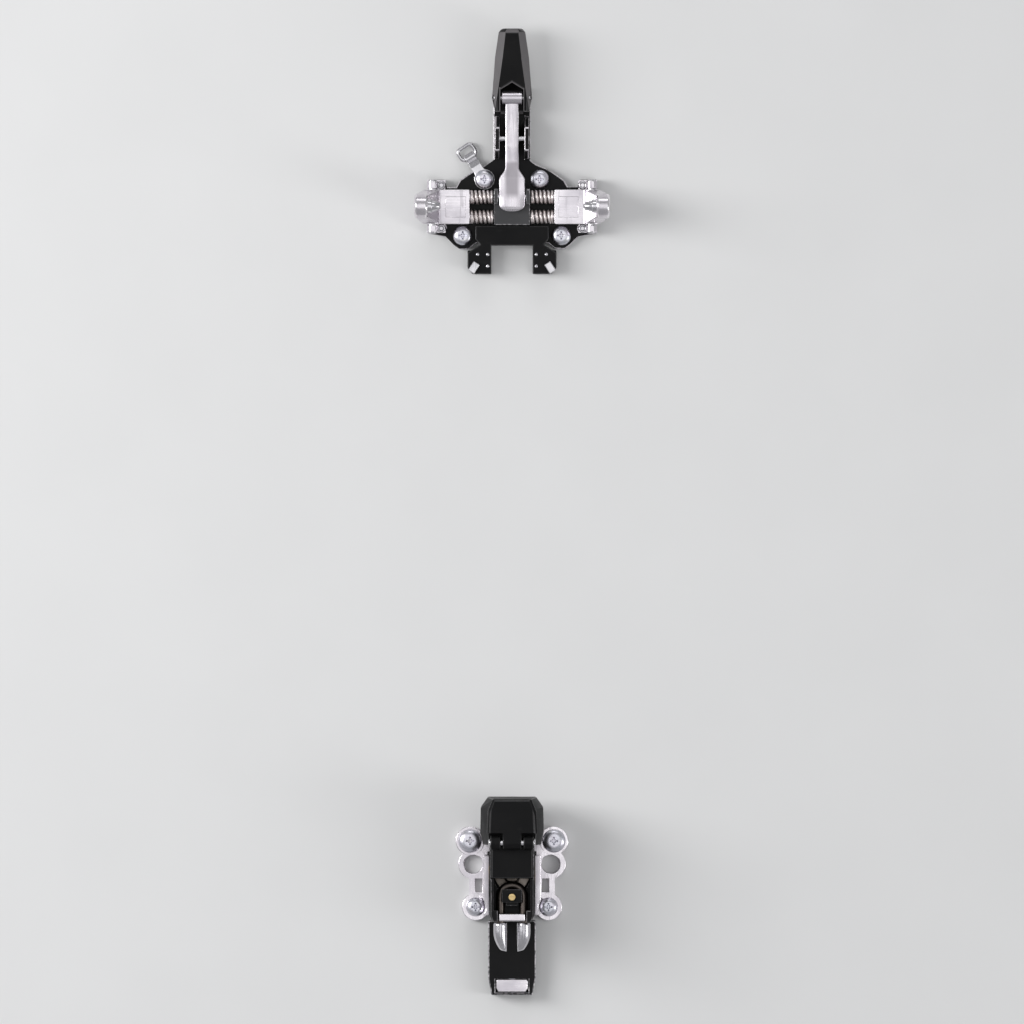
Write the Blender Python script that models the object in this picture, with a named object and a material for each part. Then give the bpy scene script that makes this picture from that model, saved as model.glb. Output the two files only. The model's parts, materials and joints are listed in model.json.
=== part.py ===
"""A touring binding: a toe piece with two sprung wings and a heel piece with a turning turret.

The frame: X across the ski, +Y towards its tip, +Z up. The origin is on the ski's top surface,
on its centre line, under the line through the two toe pins. Every size below is in millimetres,
and MM turns it into Blender's metres as each mesh is made.
"""

import math

import bmesh
import bpy
from mathutils import Matrix, Vector

MM = 0.001
GAP = 0.3           # between two pieces that touch
SIDES = 16          # of a plain round piece

# Heights
PLATE_TOP = 4.0     # toe base plate
HEEL_PLATE_TOP = 3.5
FLOOR_TOP = 1.5     # the heel plate's floor, under the carriage
TOE_PIN_Z = 31.0
HEEL_PIN_Z = 36.0

# Screws and cross pins
SCREW_DEPTH = 9.0   # how far the ski screws reach below the ski's surface
SCREW_SHANK_R = 2.7
SCREW_HOLE_R = 3.1
RIVET_HOLE_R = 1.9
CROSS_PIN_R = 1.0   # the link pin's and the grip pin's
CROSS_HOLE_R = 1.3
PIVOT_HOLE_R = 1.5

# Toe: wings, springs and bridge
HINGE_X = 34.65
HINGE_Z = 10.5
WING_HALF_Y = 7.5
WING_INNER_X = 18.5
AXLE_R = 2.1
TOE_PIN_TIP_X = 31.0
BOSS_OUT_X = 42.5
SPRING_Y = 4.3
SPRING_Z = 8.2
SPRING_OUT_R = 3.1
SPRING_WIRE_R = 0.55
SPRING_TURNS = 5
SPRING_PEG_R = 1.6
BRIDGE_X = 7.8

# Toe: lever
PIVOT_Y, PIVOT_Z = 29.7, 12.6
LINK_Y, LINK_Z = 4.4, 11.6
GRIP_PIN_Y, GRIP_PIN_Z = 47.5, 14.6
CHEEK_X = 6.4
LOCK_ANGLE = math.radians(40)   # how far the grip is pulled up to lock the wings

# Toe: screws and leash
TOE_FRONT_SCREW = (12.0, 12.1)
TOE_REAR_SCREW = (21.5, -12.4)
LEASH_TURN = math.radians(33)   # from straight ahead, towards the left
LEASH_LOOP = 11.6               # from the screw's centre to the loop's
LEASH_LOOP_Z = 2.1

# Heel
TURRET_Y = -290.9
FLAP_Y, FLAP_Z = -276.5, 46.0
HOUSING_BOTTOM = 11.5
HOUSING_TOP = 43.0
POST_R = 6.0
HEEL_PIN_X = 5.1
PIN_HINGE_Y = -300.2
ADJUST_Z = 4.7
ADJUST_R = 2.2
LATERAL_Z = 22.0
HEEL_FRONT_SCREW = (18.3, -276.5)
HEEL_SPARE_HOLE = (16.9, -286.6)
HEEL_REAR_SCREW = (15.9, -305.3)


# ---------------------------------------------------------------- materials


def material(name, colour, roughness, metallic):
    made = bpy.data.materials.new(name)
    made.use_nodes = True
    shader = made.node_tree.nodes["Principled BSDF"]
    shader.inputs["Base Color"].default_value = (*colour, 1.0)
    shader.inputs["Roughness"].default_value = roughness
    shader.inputs["Metallic"].default_value = metallic
    made.diffuse_color = (*colour, 1.0)
    return made


# ---------------------------------------------------------------- mesh tools


def new_object(name, bm, finish=None):
    """An object in world space from a mesh drawn in millimetres."""
    bmesh.ops.remove_doubles(bm, verts=bm.verts, dist=1e-4)
    bmesh.ops.recalc_face_normals(bm, faces=bm.faces)
    bmesh.ops.scale(bm, vec=(MM, MM, MM), verts=bm.verts)
    mesh = bpy.data.meshes.new(name)
    bm.to_mesh(mesh)
    bm.free()
    if finish:
        mesh.materials.append(finish)
    made = bpy.data.objects.new(name, mesh)
    bpy.context.scene.collection.objects.link(made)
    return made


def loft(name, rings, finish=None):
    """A solid through rings of as many points each, its two ends closed."""
    bm = bmesh.new()
    rows = [[bm.verts.new(point) for point in ring] for ring in rings]
    for low, high in zip(rows, rows[1:]):
        for i in range(len(low)):
            k = (i + 1) % len(low)
            bm.faces.new((low[i], low[k], high[k], high[i]))
    bm.faces.new(rows[0])
    bm.faces.new(rows[-1])
    return new_object(name, bm, finish)


def prism(name, outline, low, high, finish=None, along="z"):
    """An outline pushed from low to high. Along x it is drawn in (y, z), along y in (x, z)."""
    place = {
        "x": lambda a, b, c: (c, a, b),
        "y": lambda a, b, c: (a, c, b),
        "z": lambda a, b, c: (a, b, c),
    }[along]
    return loft(name, [[place(a, b, c) for a, b in outline] for c in (low, high)], finish)


def block(name, x, y, z, finish=None):
    outline = [(x[0], y[0]), (x[1], y[0]), (x[1], y[1]), (x[0], y[1])]
    return prism(name, outline, z[0], z[1], finish)


def turned(name, centre, axis, profile, finish=None, sides=SIDES):
    """A turned piece: profile is (distance along the axis, radius) from one end to the other."""
    turn = Vector(axis).to_track_quat("Z", "X").to_matrix()
    bm = bmesh.new()
    rows = []
    for along, radius in profile:
        ring = []
        for i in range(sides):
            angle = math.tau * (i + 0.5) / sides
            point = Vector((radius * math.cos(angle), radius * math.sin(angle), along))
            ring.append(bm.verts.new(Vector(centre) + turn @ point))
        rows.append(ring)
    for low, high in zip(rows, rows[1:]):
        for i in range(sides):
            k = (i + 1) % sides
            bm.faces.new((low[i], low[k], high[k], high[i]))
    bm.faces.new(rows[0])
    bm.faces.new(rows[-1])
    made = new_object(name, bm, finish)
    made.data.shade_smooth()
    made.data.set_sharp_from_angle(angle=math.radians(35))
    return made


def rod(name, start, end, radius, finish=None, sides=SIDES):
    run = Vector(end) - Vector(start)
    return turned(name, start, run, [(0, radius), (run.length, radius)], finish, sides)


def sweep(name, path, radius, finish=None, sides=8, closed=False):
    """A round wire along a path of points, with flat ends unless it closes on itself."""
    points = [Vector(p) for p in path]
    count = len(points)
    bm = bmesh.new()
    rows = []
    side = None
    for i, point in enumerate(points):
        before = points[i - 1] if closed or i else point
        after = points[(i + 1) % count] if closed or i < count - 1 else point
        run = (after - before).normalized()
        if side is None:
            side = run.orthogonal()
        side = (side - run * side.dot(run)).normalized()
        up = run.cross(side)
        ring = []
        for k in range(sides):
            angle = math.tau * k / sides
            ring.append(bm.verts.new(point + radius * (math.cos(angle) * side + math.sin(angle) * up)))
        rows.append(ring)
    pairs = list(zip(rows, rows[1:]))
    if closed:
        pairs.append((rows[-1], rows[0]))
    for low, high in pairs:
        for k in range(sides):
            m = (k + 1) % sides
            bm.faces.new((low[k], low[m], high[m], high[k]))
    if not closed:
        bm.faces.new(rows[0])
        bm.faces.new(rows[-1])
    made = new_object(name, bm, finish)
    made.data.shade_smooth()
    return made


def coil(name, start, end, out_r, wire_r, turns, finish, steps=9):
    """A compression spring between two points, with its wire's ends cut flat."""
    start, end = Vector(start), Vector(end)
    run = end - start
    turn = run.to_track_quat("Z", "X").to_matrix()
    length = run.length - 2 * wire_r
    count = int(turns * steps)
    mean_r = out_r - wire_r
    path = []
    for i in range(count + 1):
        angle = math.tau * i / steps
        local = Vector((mean_r * math.cos(angle), mean_r * math.sin(angle), wire_r + length * i / count))
        path.append(start + turn @ local)
    return sweep(name, path, wire_r, finish, sides=5)


def combine(target, others, operation):
    """Joins or cuts the target with other solids, which are used up."""
    for other in others:
        modifier = target.modifiers.new("combine", "BOOLEAN")
        modifier.operation = operation
        modifier.solver = "EXACT"
        modifier.object = other
    bpy.context.view_layer.update()
    shown = target.evaluated_get(bpy.context.evaluated_depsgraph_get())
    mesh = bpy.data.meshes.new_from_object(shown)
    mesh.name = target.name
    target.modifiers.clear()
    target.data = mesh
    for other in others:
        bpy.data.objects.remove(other, do_unlink=True)
    return target


def join(target, *others):
    return combine(target, others, "UNION")


def cut(target, *others):
    return combine(target, others, "DIFFERENCE")


def mirrored(outline):
    """A right-hand outline, front to rear, with its left-hand twin: one closed outline."""
    return outline + [(-x, y) for x, y in reversed(outline)]


def arc(centre, radius, start, end, count):
    """Points round a centre, between two angles in degrees."""
    points = []
    for i in range(count + 1):
        angle = math.radians(start + (end - start) * i / count)
        points.append((centre[0] + radius * math.cos(angle), centre[1] + radius * math.sin(angle)))
    return points


def chamfer(target, width, angle=40):
    modifier = target.modifiers.new("edges", "BEVEL")
    modifier.width = width * MM
    modifier.segments = 1
    modifier.limit_method = "ANGLE"
    modifier.angle_limit = math.radians(angle)
    return target


# ---------------------------------------------------------------- fasteners


def ski_screw(name, place, seat, head_r, finish):
    """A ski screw: a low domed head with a cross recess, over a straight shank with a blunt tip."""
    x, y = place
    top = seat + 2.8
    profile = [
        (-SCREW_DEPTH, 1.6),
        (-SCREW_DEPTH + 1.6, SCREW_SHANK_R),
        (seat, SCREW_SHANK_R),
        (seat, head_r - 0.3),
        (seat + 0.4, head_r),
        (seat + 1.5, head_r),
        (top, head_r * 0.55),
    ]
    made = turned(name, (x, y, 0), (0, 0, 1), profile, finish, sides=14)
    arms = [
        block("arm", (x - 2.1, x + 2.1), (y - 0.5, y + 0.5), (top - 1.4, top + 1)),
        block("arm", (x - 0.5, x + 0.5), (y - 2.1, y + 2.1), (top - 1.4, top + 1)),
    ]
    return cut(made, *arms)


# ---------------------------------------------------------------- toe, fixed to the ski


def toe_base_plate(finish):
    right = [
        (8.0, 52.0),
        (8.0, 20.7),
        (11.0, 18.4),
        (14.4, 17.1),
        (18.8, 14.6),
        (22.8, 11.8),
        (24.4, 8.8),
        (28.4, 8.8),
        (29.4, 12.0),
        (37.0, 12.0),
        (37.0, -11.4),
        (29.0, -12.9),
        (25.6, -16.4),
        (22.8, -18.4),
        (18.6, -18.2),
        (15.6, -15.8),
    ]
    plate = prism("toe_base_plate", mirrored(right), 0, PLATE_TOP, finish)
    inner, outer = CHEEK_X - 0.95, CHEEK_X + 0.95
    cheek = [(20.9, 3.0), (39.6, 3.0), (39.6, 9.0), (34.5, 15.4), (24.5, 15.4), (20.9, 10.0)]
    extras = [block("front_guide", (-5.6, 5.6), (8.3, 10.2), (3.0, 9.6))]
    for low, high in ((inner, outer), (-outer, -inner)):
        extras.append(prism("cheek", cheek, low, high, along="x"))
    join(plate, *extras)
    holes = [rod("hole", (-10, PIVOT_Y, PIVOT_Z), (10, PIVOT_Y, PIVOT_Z), PIVOT_HOLE_R)]
    for sign in (1, -1):
        for x, y in (TOE_FRONT_SCREW, TOE_REAR_SCREW):
            holes.append(rod("hole", (sign * x, y, -1), (sign * x, y, 5), SCREW_HOLE_R))
        for x, y in rivet_places(sign):
            holes.append(rod("hole", (x, y, -1), (x, y, 5), RIVET_HOLE_R, sides=12))
    return cut(plate, *holes)


def rivet_places(sign):
    return [(sign * 30.8, 9.6), (sign * 30.8, -9.3)]


def hinge_bracket(name, sign, finish):
    """A foot on the base plate with an ear in front of the wing and one behind it."""
    base = block(name, (29.0, 37.0), (-11.2, 11.8), (PLATE_TOP + GAP, 5.9), finish)
    ears = []
    for low, high in ((8.1, 11.2), (-10.9, -8.1)):
        ear = [(32.3, 5.0), (37.0, 5.0), (37.0, 12.4), (35.8, 13.6), (33.5, 13.6), (32.3, 12.4)]
        ears.append(prism("ear", ear, low, high, along="y"))
    join(base, *ears)
    if sign < 0:
        mirror_x(base)
    holes = [rod("hole", (sign * HINGE_X, -14, HINGE_Z), (sign * HINGE_X, 14, HINGE_Z), AXLE_R + 0.25)]
    for x, y in rivet_places(sign):
        holes.append(rod("hole", (x, y, 3), (x, y, 8), RIVET_HOLE_R, sides=12))
    return cut(base, *holes)


def mirror_x(target):
    """Turns a right-hand mesh into its left-hand twin."""
    target.data.transform(Matrix.Scale(-1, 4, (1, 0, 0)))
    target.data.flip_normals()
    return target


def hinge_rivet(name, place, finish):
    x, y = place
    seat = 5.9 + GAP
    profile = [(0.5, 1.5), (seat, 1.5), (seat, 1.8), (seat + 0.8, 1.6)]
    made = turned(name, (x, y, 0), (0, 0, 1), profile, finish, sides=12)
    return cut(made, rod("hollow", (x, y, 1.5), (x, y, 9), 0.9, sides=8))


def wing_axle(name, sign, finish):
    profile = [(-11.8, 1.5), (-11.3, AXLE_R), (11.3, AXLE_R), (11.8, 1.5)]
    return turned(name, (sign * HINGE_X, 0.15, HINGE_Z), (0, 1, 0), profile, finish, sides=14)


def crampon_bracket(finish):
    """A bridge over the plate's rear edge and two legs, each with a slot open to the rear."""
    right = [
        (16.0, -8.3),
        (16.0, -14.0),
        (14.0, -16.4),
        (19.4, -20.0),
        (19.4, -26.5),
        (17.2, -29.2),
        (9.0, -29.2),
        (9.0, -16.8),
    ]
    bracket = prism("crampon_bracket", mirrored(right), PLATE_TOP + GAP, 8.8, finish)
    legs = [block("leg", sorted((s * 9.0, s * 19.4)), (-29.2, -18.9), (0.4, 6.0)) for s in (1, -1)]
    join(bracket, *legs)
    slots = [block("slot", sorted((s * 8.0, s * 21.0)), (-31.0, -21.0), (1.9, 6.5)) for s in (1, -1)]
    corners = []
    for s in (1, -1):
        outline = [(s * 17.2, -29.3), (s * 19.5, -26.5), (s * 21.0, -31.0)]
        corners.append(prism("corner", outline, -1, 12))
    return cut(bracket, *slots, *corners)


def crampon_insert(name, sign, finish):
    """A steel wear plate on a leg's outer rear corner."""
    angle = math.radians(33) * sign
    across, along = (math.cos(angle), math.sin(angle)), (-math.sin(angle), math.cos(angle))
    centre = (sign * 16.6, -26.4)
    outline = []
    for a, b in ((-1.6, -2.4), (1.6, -2.4), (1.6, 2.4), (-1.6, 2.4)):
        outline.append((centre[0] + a * across[0] + b * along[0], centre[1] + a * across[1] + b * along[1]))
    return chamfer(prism(name, outline, 8.8 + GAP, 10.2, finish), 0.3)


def leash_frame():
    """The leash's own frame: its origin at the front left screw, its Y along the leash."""
    x, y = TOE_FRONT_SCREW
    return Matrix.Translation((-x * MM, y * MM, 0)) @ Matrix.Rotation(LEASH_TURN, 4, "Z")


def leash_tab(finish):
    half = 2.35
    strip = [
        (3.2, PLATE_TOP + GAP),
        (6.6, PLATE_TOP + GAP),
        (10.2, LEASH_LOOP_Z - 0.9),
        (LEASH_LOOP, LEASH_LOOP_Z - 1.2),
        (LEASH_LOOP, LEASH_LOOP_Z + 1.2),
        (10.4, LEASH_LOOP_Z + 0.5),
        (7.0, 5.6),
        (3.2, 5.6),
    ]
    tab = prism("leash_tab", strip, -half, half, finish, along="x")
    eye = rod("eye", (0, 0, PLATE_TOP + GAP), (0, 0, 5.6), 4.5)
    loop = rod("loop", (-half, LEASH_LOOP, LEASH_LOOP_Z), (half, LEASH_LOOP, LEASH_LOOP_Z), 1.8)
    join(tab, eye, loop)
    cut(
        tab,
        rod("screw_hole", (0, 0, 3), (0, 0, 7), SCREW_HOLE_R),
        rod("ring_hole", (-4, LEASH_LOOP, LEASH_LOOP_Z), (4, LEASH_LOOP, LEASH_LOOP_Z), 1.15, sides=12),
    )
    tab.matrix_world = leash_frame()
    return tab


def leash_ring(finish):
    """A rounded rectangle of wire that lies flat ahead of its loop."""
    half_x, near, far, corner = 3.6, LEASH_LOOP, LEASH_LOOP + 5.2, 1.6
    path = []
    corners = (
        ((half_x - corner, near + corner), -90),
        ((half_x - corner, far - corner), 0),
        ((corner - half_x, far - corner), 90),
        ((corner - half_x, near + corner), 180),
    )
    for centre, start in corners:
        path += arc(centre, corner, start, start + 90, 4)
    ring = sweep("leash_ring", [(x, y, LEASH_LOOP_Z) for x, y in path], 0.8, finish, closed=True)
    ring.matrix_world = leash_frame()
    return ring


# ---------------------------------------------------------------- toe, moving


def wing(name, sign, finish):
    """A wing: the spring block, the knuckle round its axle, and the arm up to the pin's boss."""
    y = WING_HALF_Y
    body = block(name, (WING_INNER_X, 32.5), (-y, y), (PLATE_TOP + GAP, 12.6), finish)
    foot = [(31.6, -y, 9.5), (38.2, -y, 9.5), (38.2, y, 9.5), (31.6, y, 9.5)]
    waist = [(33.2, -6.6, 19.0), (39.9, -6.6, 19.0), (39.9, 6.6, 19.0), (33.2, 6.6, 19.0)]
    top = [(36.9, -4.6, 28.0), (42.0, -4.6, 28.0), (42.0, 4.6, 28.0), (36.9, 4.6, 28.0)]
    boss = [(0, 4.7), (0.8, 5.4), (5.2, 5.4), (5.9, 4.6)]
    parts = [
        rod("knuckle", (HINGE_X, -y, HINGE_Z), (HINGE_X, y, HINGE_Z), 4.1, sides=20),
        loft("arm", [foot, waist, top]),
        turned("boss", (36.6, 0, TOE_PIN_Z), (1, 0, 0), boss, sides=20),
    ]
    for peg_y in (SPRING_Y, -SPRING_Y):
        tip = (WING_INNER_X - 2.4, peg_y, SPRING_Z)
        root = (WING_INNER_X + 1, peg_y, SPRING_Z)
        parts.append(rod("peg", tip, root, SPRING_PEG_R, sides=10))
    join(body, *parts)
    cut(
        body,
        rod("axle_hole", (HINGE_X, -9, HINGE_Z), (HINGE_X, 9, HINGE_Z), AXLE_R + 0.25),
        rod("pin_hole", (34.0, 0, TOE_PIN_Z), (44.0, 0, TOE_PIN_Z), 3.3),
        block("foot_relief", (28.7, 38.0), (-9, 9), (3.0, 6.2)),
        block("pocket", (20.4, 28.8), (-4.4, 4.4), (12.0, 14.0)),
    )
    return mirror_x(body) if sign < 0 else body


def toe_pin(name, sign, finish):
    length = BOSS_OUT_X - TOE_PIN_TIP_X
    profile = [(0, 0.9), (0.6, 1.7), (3.4, 2.4), (4.2, 3.0), (length - 0.6, 3.0), (length, 2.5)]
    centre = (sign * TOE_PIN_TIP_X, 0, TOE_PIN_Z)
    return turned(name, centre, (sign, 0, 0), profile, finish)


def spring_bridge(finish):
    bridge = block("spring_bridge", (-BRIDGE_X, BRIDGE_X), (-7.9, 7.9), (4.6, 10.6), finish)
    parts = []
    for sign in (1, -1):
        parts.append(block("ear", sorted((sign * 6.1, sign * BRIDGE_X)), (1.2, 7.6), (8.0, 13.4)))
        for y in (SPRING_Y, -SPRING_Y):
            root, tip = (sign * (BRIDGE_X - 0.8), y, SPRING_Z), (sign * (BRIDGE_X + 2.6), y, SPRING_Z)
            parts.append(rod("peg", root, tip, SPRING_PEG_R, sides=10))
    join(bridge, *parts)
    return cut(
        bridge,
        block("lug_pocket", (-2.6, 2.6), (1.2, 7.8), (8.4, 12.0)),
        rod("pin_hole", (-9, LINK_Y, LINK_Z), (9, LINK_Y, LINK_Z), CROSS_HOLE_R, sides=12),
    )


def lever_beam(finish):
    """The steel beam: a round head in the grip, the pivot, and the paddle over the bridge."""
    upper = [(47.5, 16.1), (33.0, 15.0), (26.5, 14.6), (19.7, 15.2), (9.0, 15.0)]
    lower = [(9.0, 12.9), (19.7, 12.7), (26.8, 10.6), (32.6, 10.6), (47.5, 13.1)]
    beam = prism("lever_beam", upper + lower, -2.95, 2.95, finish, along="x")
    tail = [(2.95, 17.0), (5.6, 11.6), (5.6, 1.2), (4.3, -1.3), (2.6, -2.0)]
    parts = [
        prism("paddle", mirrored(tail), 12.9, 15.0),
        block("lug", (-2.0, 2.0), (1.9, 6.9), (9.6, 13.5)),
        rod("head", (-4.6, GRIP_PIN_Y, GRIP_PIN_Z), (4.6, GRIP_PIN_Y, GRIP_PIN_Z), 3.0, sides=20),
    ]
    join(beam, *parts)
    slot = arc((LINK_Y + 0.5, LINK_Z), CROSS_HOLE_R, -90, 90, 6)
    slot += arc((LINK_Y - 0.5, LINK_Z), CROSS_HOLE_R, 90, 270, 6)
    return cut(
        beam,
        rod("pivot_hole", (-6, PIVOT_Y, PIVOT_Z), (6, PIVOT_Y, PIVOT_Z), PIVOT_HOLE_R),
        prism("link_slot", slot, -3, 3, along="x"),
        rod("pin_hole", (-6, GRIP_PIN_Y, GRIP_PIN_Z), (6, GRIP_PIN_Y, GRIP_PIN_Z), CROSS_HOLE_R, sides=12),
    )


def grip_ring(y, low_half, top_half, low, top):
    """A section of the grip: upright sides to half its height, then facets that lean in to the top."""
    right = [(low_half, y, low), (low_half, y, (low + top) / 2), (top_half, y, top)]
    return right + [(-x, y, z) for x, y, z in reversed(right)]


def lever_grip(finish):
    """The black grip, forked round the beam's head, with the locking foot under its pin."""
    rings = [
        grip_ring(41.3, 7.4, 6.4, 10.2, 16.6),
        grip_ring(47.4, 8.7, 6.6, 9.6, 17.6),
        grip_ring(56.4, 8.0, 5.4, 9.8, 18.6),
        grip_ring(65.0, 7.4, 4.2, 10.2, 19.6),
        grip_ring(76.0, 5.8, 2.9, 11.2, 19.2),
        grip_ring(77.6, 4.4, 2.2, 12.2, 17.8),
    ]
    grip = loft("lever_grip", rings, finish)
    reach = 9.1
    tip = (GRIP_PIN_Y - reach * math.sin(LOCK_ANGLE), GRIP_PIN_Z - reach * math.cos(LOCK_ANGLE))
    foot = arc(tip, 1.2, -220, -40, 8) + [(49.6, 10.2), (44.6, 11.0)]
    cut(
        grip,
        block("fork", (-5.0, 5.0), (40.0, 51.0), (11.25, 22.0)),
        prism("notch", [(-5.0, 50.9), (5.0, 50.9), (0, 54.0)], 11.25, 22.0),
    )
    join(grip, prism("foot", foot, -4.9, 4.9, along="x"))
    hole = ((-12, GRIP_PIN_Y, GRIP_PIN_Z), (12, GRIP_PIN_Y, GRIP_PIN_Z))
    return cut(grip, rod("pin_hole", *hole, CROSS_HOLE_R, sides=12))


# ---------------------------------------------------------------- heel, fixed to the ski


def heel_base_plate(finish):
    """The bright plate: a floor under the carriage, a lobe at each hole, and two guide rails."""
    shoulder = mirrored([(12.6, -270.5), (14.4, -272.0), (14.4, -283.5), (12.6, -283.5)])
    plate = prism("heel_base_plate", shoulder, 0, HEEL_PLATE_TOP, finish)
    parts = [
        block("front_stop", (-9.0, 9.0), (-266.0, -262.0), (0, 8.6)),
        block("front_floor", (-9.0, 9.0), (-275.0, -262.0), (0, FLOOR_TOP)),
    ]
    for s in (1, -1):
        front, spare, rear = ((s * x, y) for x, y in (HEEL_FRONT_SCREW, HEEL_SPARE_HOLE, HEEL_REAR_SCREW))
        parts += [
            rod("front_lobe", (*front, 0), (*front, 3.9), 6.3, sides=28),
            rod("spare_lobe", (*spare, 0), (*spare, 3.6), 6.6, sides=28),
            rod("rear_lobe", (*rear, 0), (*rear, 3.7), 6.0, sides=28),
            block("web", sorted((s * 11.6, s * 18.7)), (-305.0, -277.0), (0, HEEL_PLATE_TOP)),
            block("rail", sorted((s * 9.8, s * 12.6)), (-308.8, -282.7), (0, 9.0)),
        ]
    join(plate, *parts)
    cut(plate, block("channel", (-9.7, 9.7), (-312, -266), (-1, 12)))
    join(
        plate,
        block("floor", (-10.5, 10.5), (-308.8, -270.5), (0, FLOOR_TOP)),
        block("tongue", (-9.0, 9.0), (-335.0, -262.5), (0, FLOOR_TOP)),
    )
    cutters = [
        block("groove", (-11.1, 11.1), (-310, -275), (4.2, 6.8)),
        rod("front_bearing", (0, -267, ADJUST_Z), (0, -261, ADJUST_Z), ADJUST_R + GAP),
    ]
    for s in (1, -1):
        front, spare, rear = ((s * x, y) for x, y in (HEEL_FRONT_SCREW, HEEL_SPARE_HOLE, HEEL_REAR_SCREW))
        cutters += [
            block("slot", sorted((s * 13.0, s * 16.2)), (-298.9, -292.9), (-1, 6)),
            rod("front_hole", (*front, -1), (*front, 6), SCREW_HOLE_R),
            rod("rear_hole", (*rear, -1), (*rear, 6), SCREW_HOLE_R),
            rod("rear_head_room", (*rear, 3.7), (*rear, 12), 4.5, sides=24),
            rod("spare_hole", (*spare, -1), (*spare, 6), 4.1, sides=20),
        ]
    return cut(plate, *cutters)


def heel_track(finish):
    """The black tail of the track: a roof over the plate's tongue, with the thrust block's pocket."""
    outline = mirrored([(10.0, -311.2), (10.4, -312.0), (10.4, -336.0), (9.0, -343.6)])
    track = prism("heel_track", outline, 0, 9.2, finish)
    return cut(
        track,
        block("tunnel", (-9.3, 9.3), (-335.5, -310.0), (-1.0, 8.0)),
        block("block_pocket", (-7.15, 7.15), (-342.5, -336.5), (0.6, 12)),
        rod("rear_bearing", (0, -337, ADJUST_Z), (0, -335, ADJUST_Z), ADJUST_R + GAP),
        rod("driver_hole", (0, -345, ADJUST_Z), (0, -342, ADJUST_Z), 3.3),
    )


def thrust_block(finish):
    outline = mirrored([(6.4, -336.8), (6.85, -337.4), (6.85, -340.6), (6.0, -342.2)])
    made = prism("thrust_block", outline, 0.9, 9.4, finish)
    return cut(
        made,
        rod("bore", (0, -345, ADJUST_Z), (0, -334, ADJUST_Z), ADJUST_R + GAP),
        rod("head_seat", (0, -345, ADJUST_Z), (0, -339.8, ADJUST_Z), 3.6),
    )


# ---------------------------------------------------------------- heel, moving


def slide_carriage(finish):
    carriage = block("slide_carriage", (-9.4, 9.4), (-300.8, -281.0), (1.8, 9.6), finish)
    join(
        carriage,
        block("flanges", (-10.8, 10.8), (-300.8, -281.0), (4.6, 6.4)),
        block("skirt", (-9.0, 9.0), (-306.0, -276.5), (1.8, 7.6)),
    )
    return cut(
        carriage,
        rod("thread", (0, -310, ADJUST_Z), (0, -270, ADJUST_Z), ADJUST_R + GAP),
        rod("post_hole", (0, TURRET_Y, 7.7), (0, TURRET_Y, 12), 3.3),
    )


def adjust_screw(finish):
    head = [(-342.3, 2.2), (-342.0, 3.0), (-340.1, 3.0)]
    profile = head + [(-340.1, ADJUST_R), (-263.6, ADJUST_R), (-263.0, 1.6)]
    made = turned("adjust_screw", (0, 0, ADJUST_Z), (0, 1, 0), profile, finish, sides=14)
    return cut(made, block("slot", (-4, 4), (-343, -341.2), (ADJUST_Z - 0.4, ADJUST_Z + 0.4)))


def turret_post(finish):
    """The post that the turret turns on, with a flat in front and behind for the plunger."""
    profile = [(7.9, 3.0), (9.9, 3.0), (9.9, POST_R), (26.9, POST_R), (26.9, 3.4), (31.2, 3.4), (31.6, 2.9)]
    made = turned("turret_post", (0, TURRET_Y, 0), (0, 0, 1), profile, finish, sides=24)
    flats = []
    for s in (1, -1):
        y = sorted((TURRET_Y + s * 5.2, TURRET_Y + s * 8.0))
        flats.append(block("flat", (-7, 7), y, (17.0, 26.0)))
    return cut(made, *flats)


def ring(name, centre, low, high, out_r, in_r, finish, sides=24):
    x, y = centre
    made = rod(name, (x, y, low), (x, y, high), out_r, finish, sides)
    return cut(made, rod("bore", (x, y, low - 1), (x, y, high + 1), in_r, sides=sides))


def post_nut(finish):
    return ring("post_nut", (0, TURRET_Y), 27.5, 30.2, 7.6, 3.8, finish, sides=12)


def turret_washer(finish):
    return ring("turret_washer", (0, TURRET_Y), 9.9, 11.2, 9.2, 6.5, finish)


def turret_housing(finish):
    """The turret's body, bored for its post and lateral spring, with the pin recess behind."""
    housing = block("turret_housing", (-9.0, 9.0), (-279.0, -262.0), (HOUSING_BOTTOM, 37.4), finish)
    rear = mirrored([(9.7, -278.0), (9.7, -308.0), (8.4, -311.0)])
    shoulder = [
        [(x, y, HOUSING_BOTTOM) for x, y in rear],
        [(x, y, 41.4) for x, y in rear],
        [(x * 0.93, y, HOUSING_TOP) for x, y in rear],
    ]
    join(housing, loft("rear_body", shoulder))
    return cut(
        housing,
        rod("post_bore", (0, TURRET_Y, 5), (0, TURRET_Y, 28), POST_R + GAP, sides=24),
        rod("nut_room", (0, TURRET_Y, 27.2), (0, TURRET_Y, 50), 8.2, sides=24),
        rod("spring_bore", (0, -255, LATERAL_Z), (0, TURRET_Y, LATERAL_Z), 4.7, sides=20),
        block("cover_seat", (-12, 12), (-292.4, -277.0), (41.2, 50)),
        block("pin_recess", (-8.0, 8.0), (-306.0, -292.4), (33.2, 50)),
        block("pin_gate", (-8.6, 8.6), (-313.0, -303.0), (33.2, 38.9)),
        block("bar_seat", (-6.1, 6.1), (-313.0, -305.0), (38.0, 50)),
    )


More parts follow.
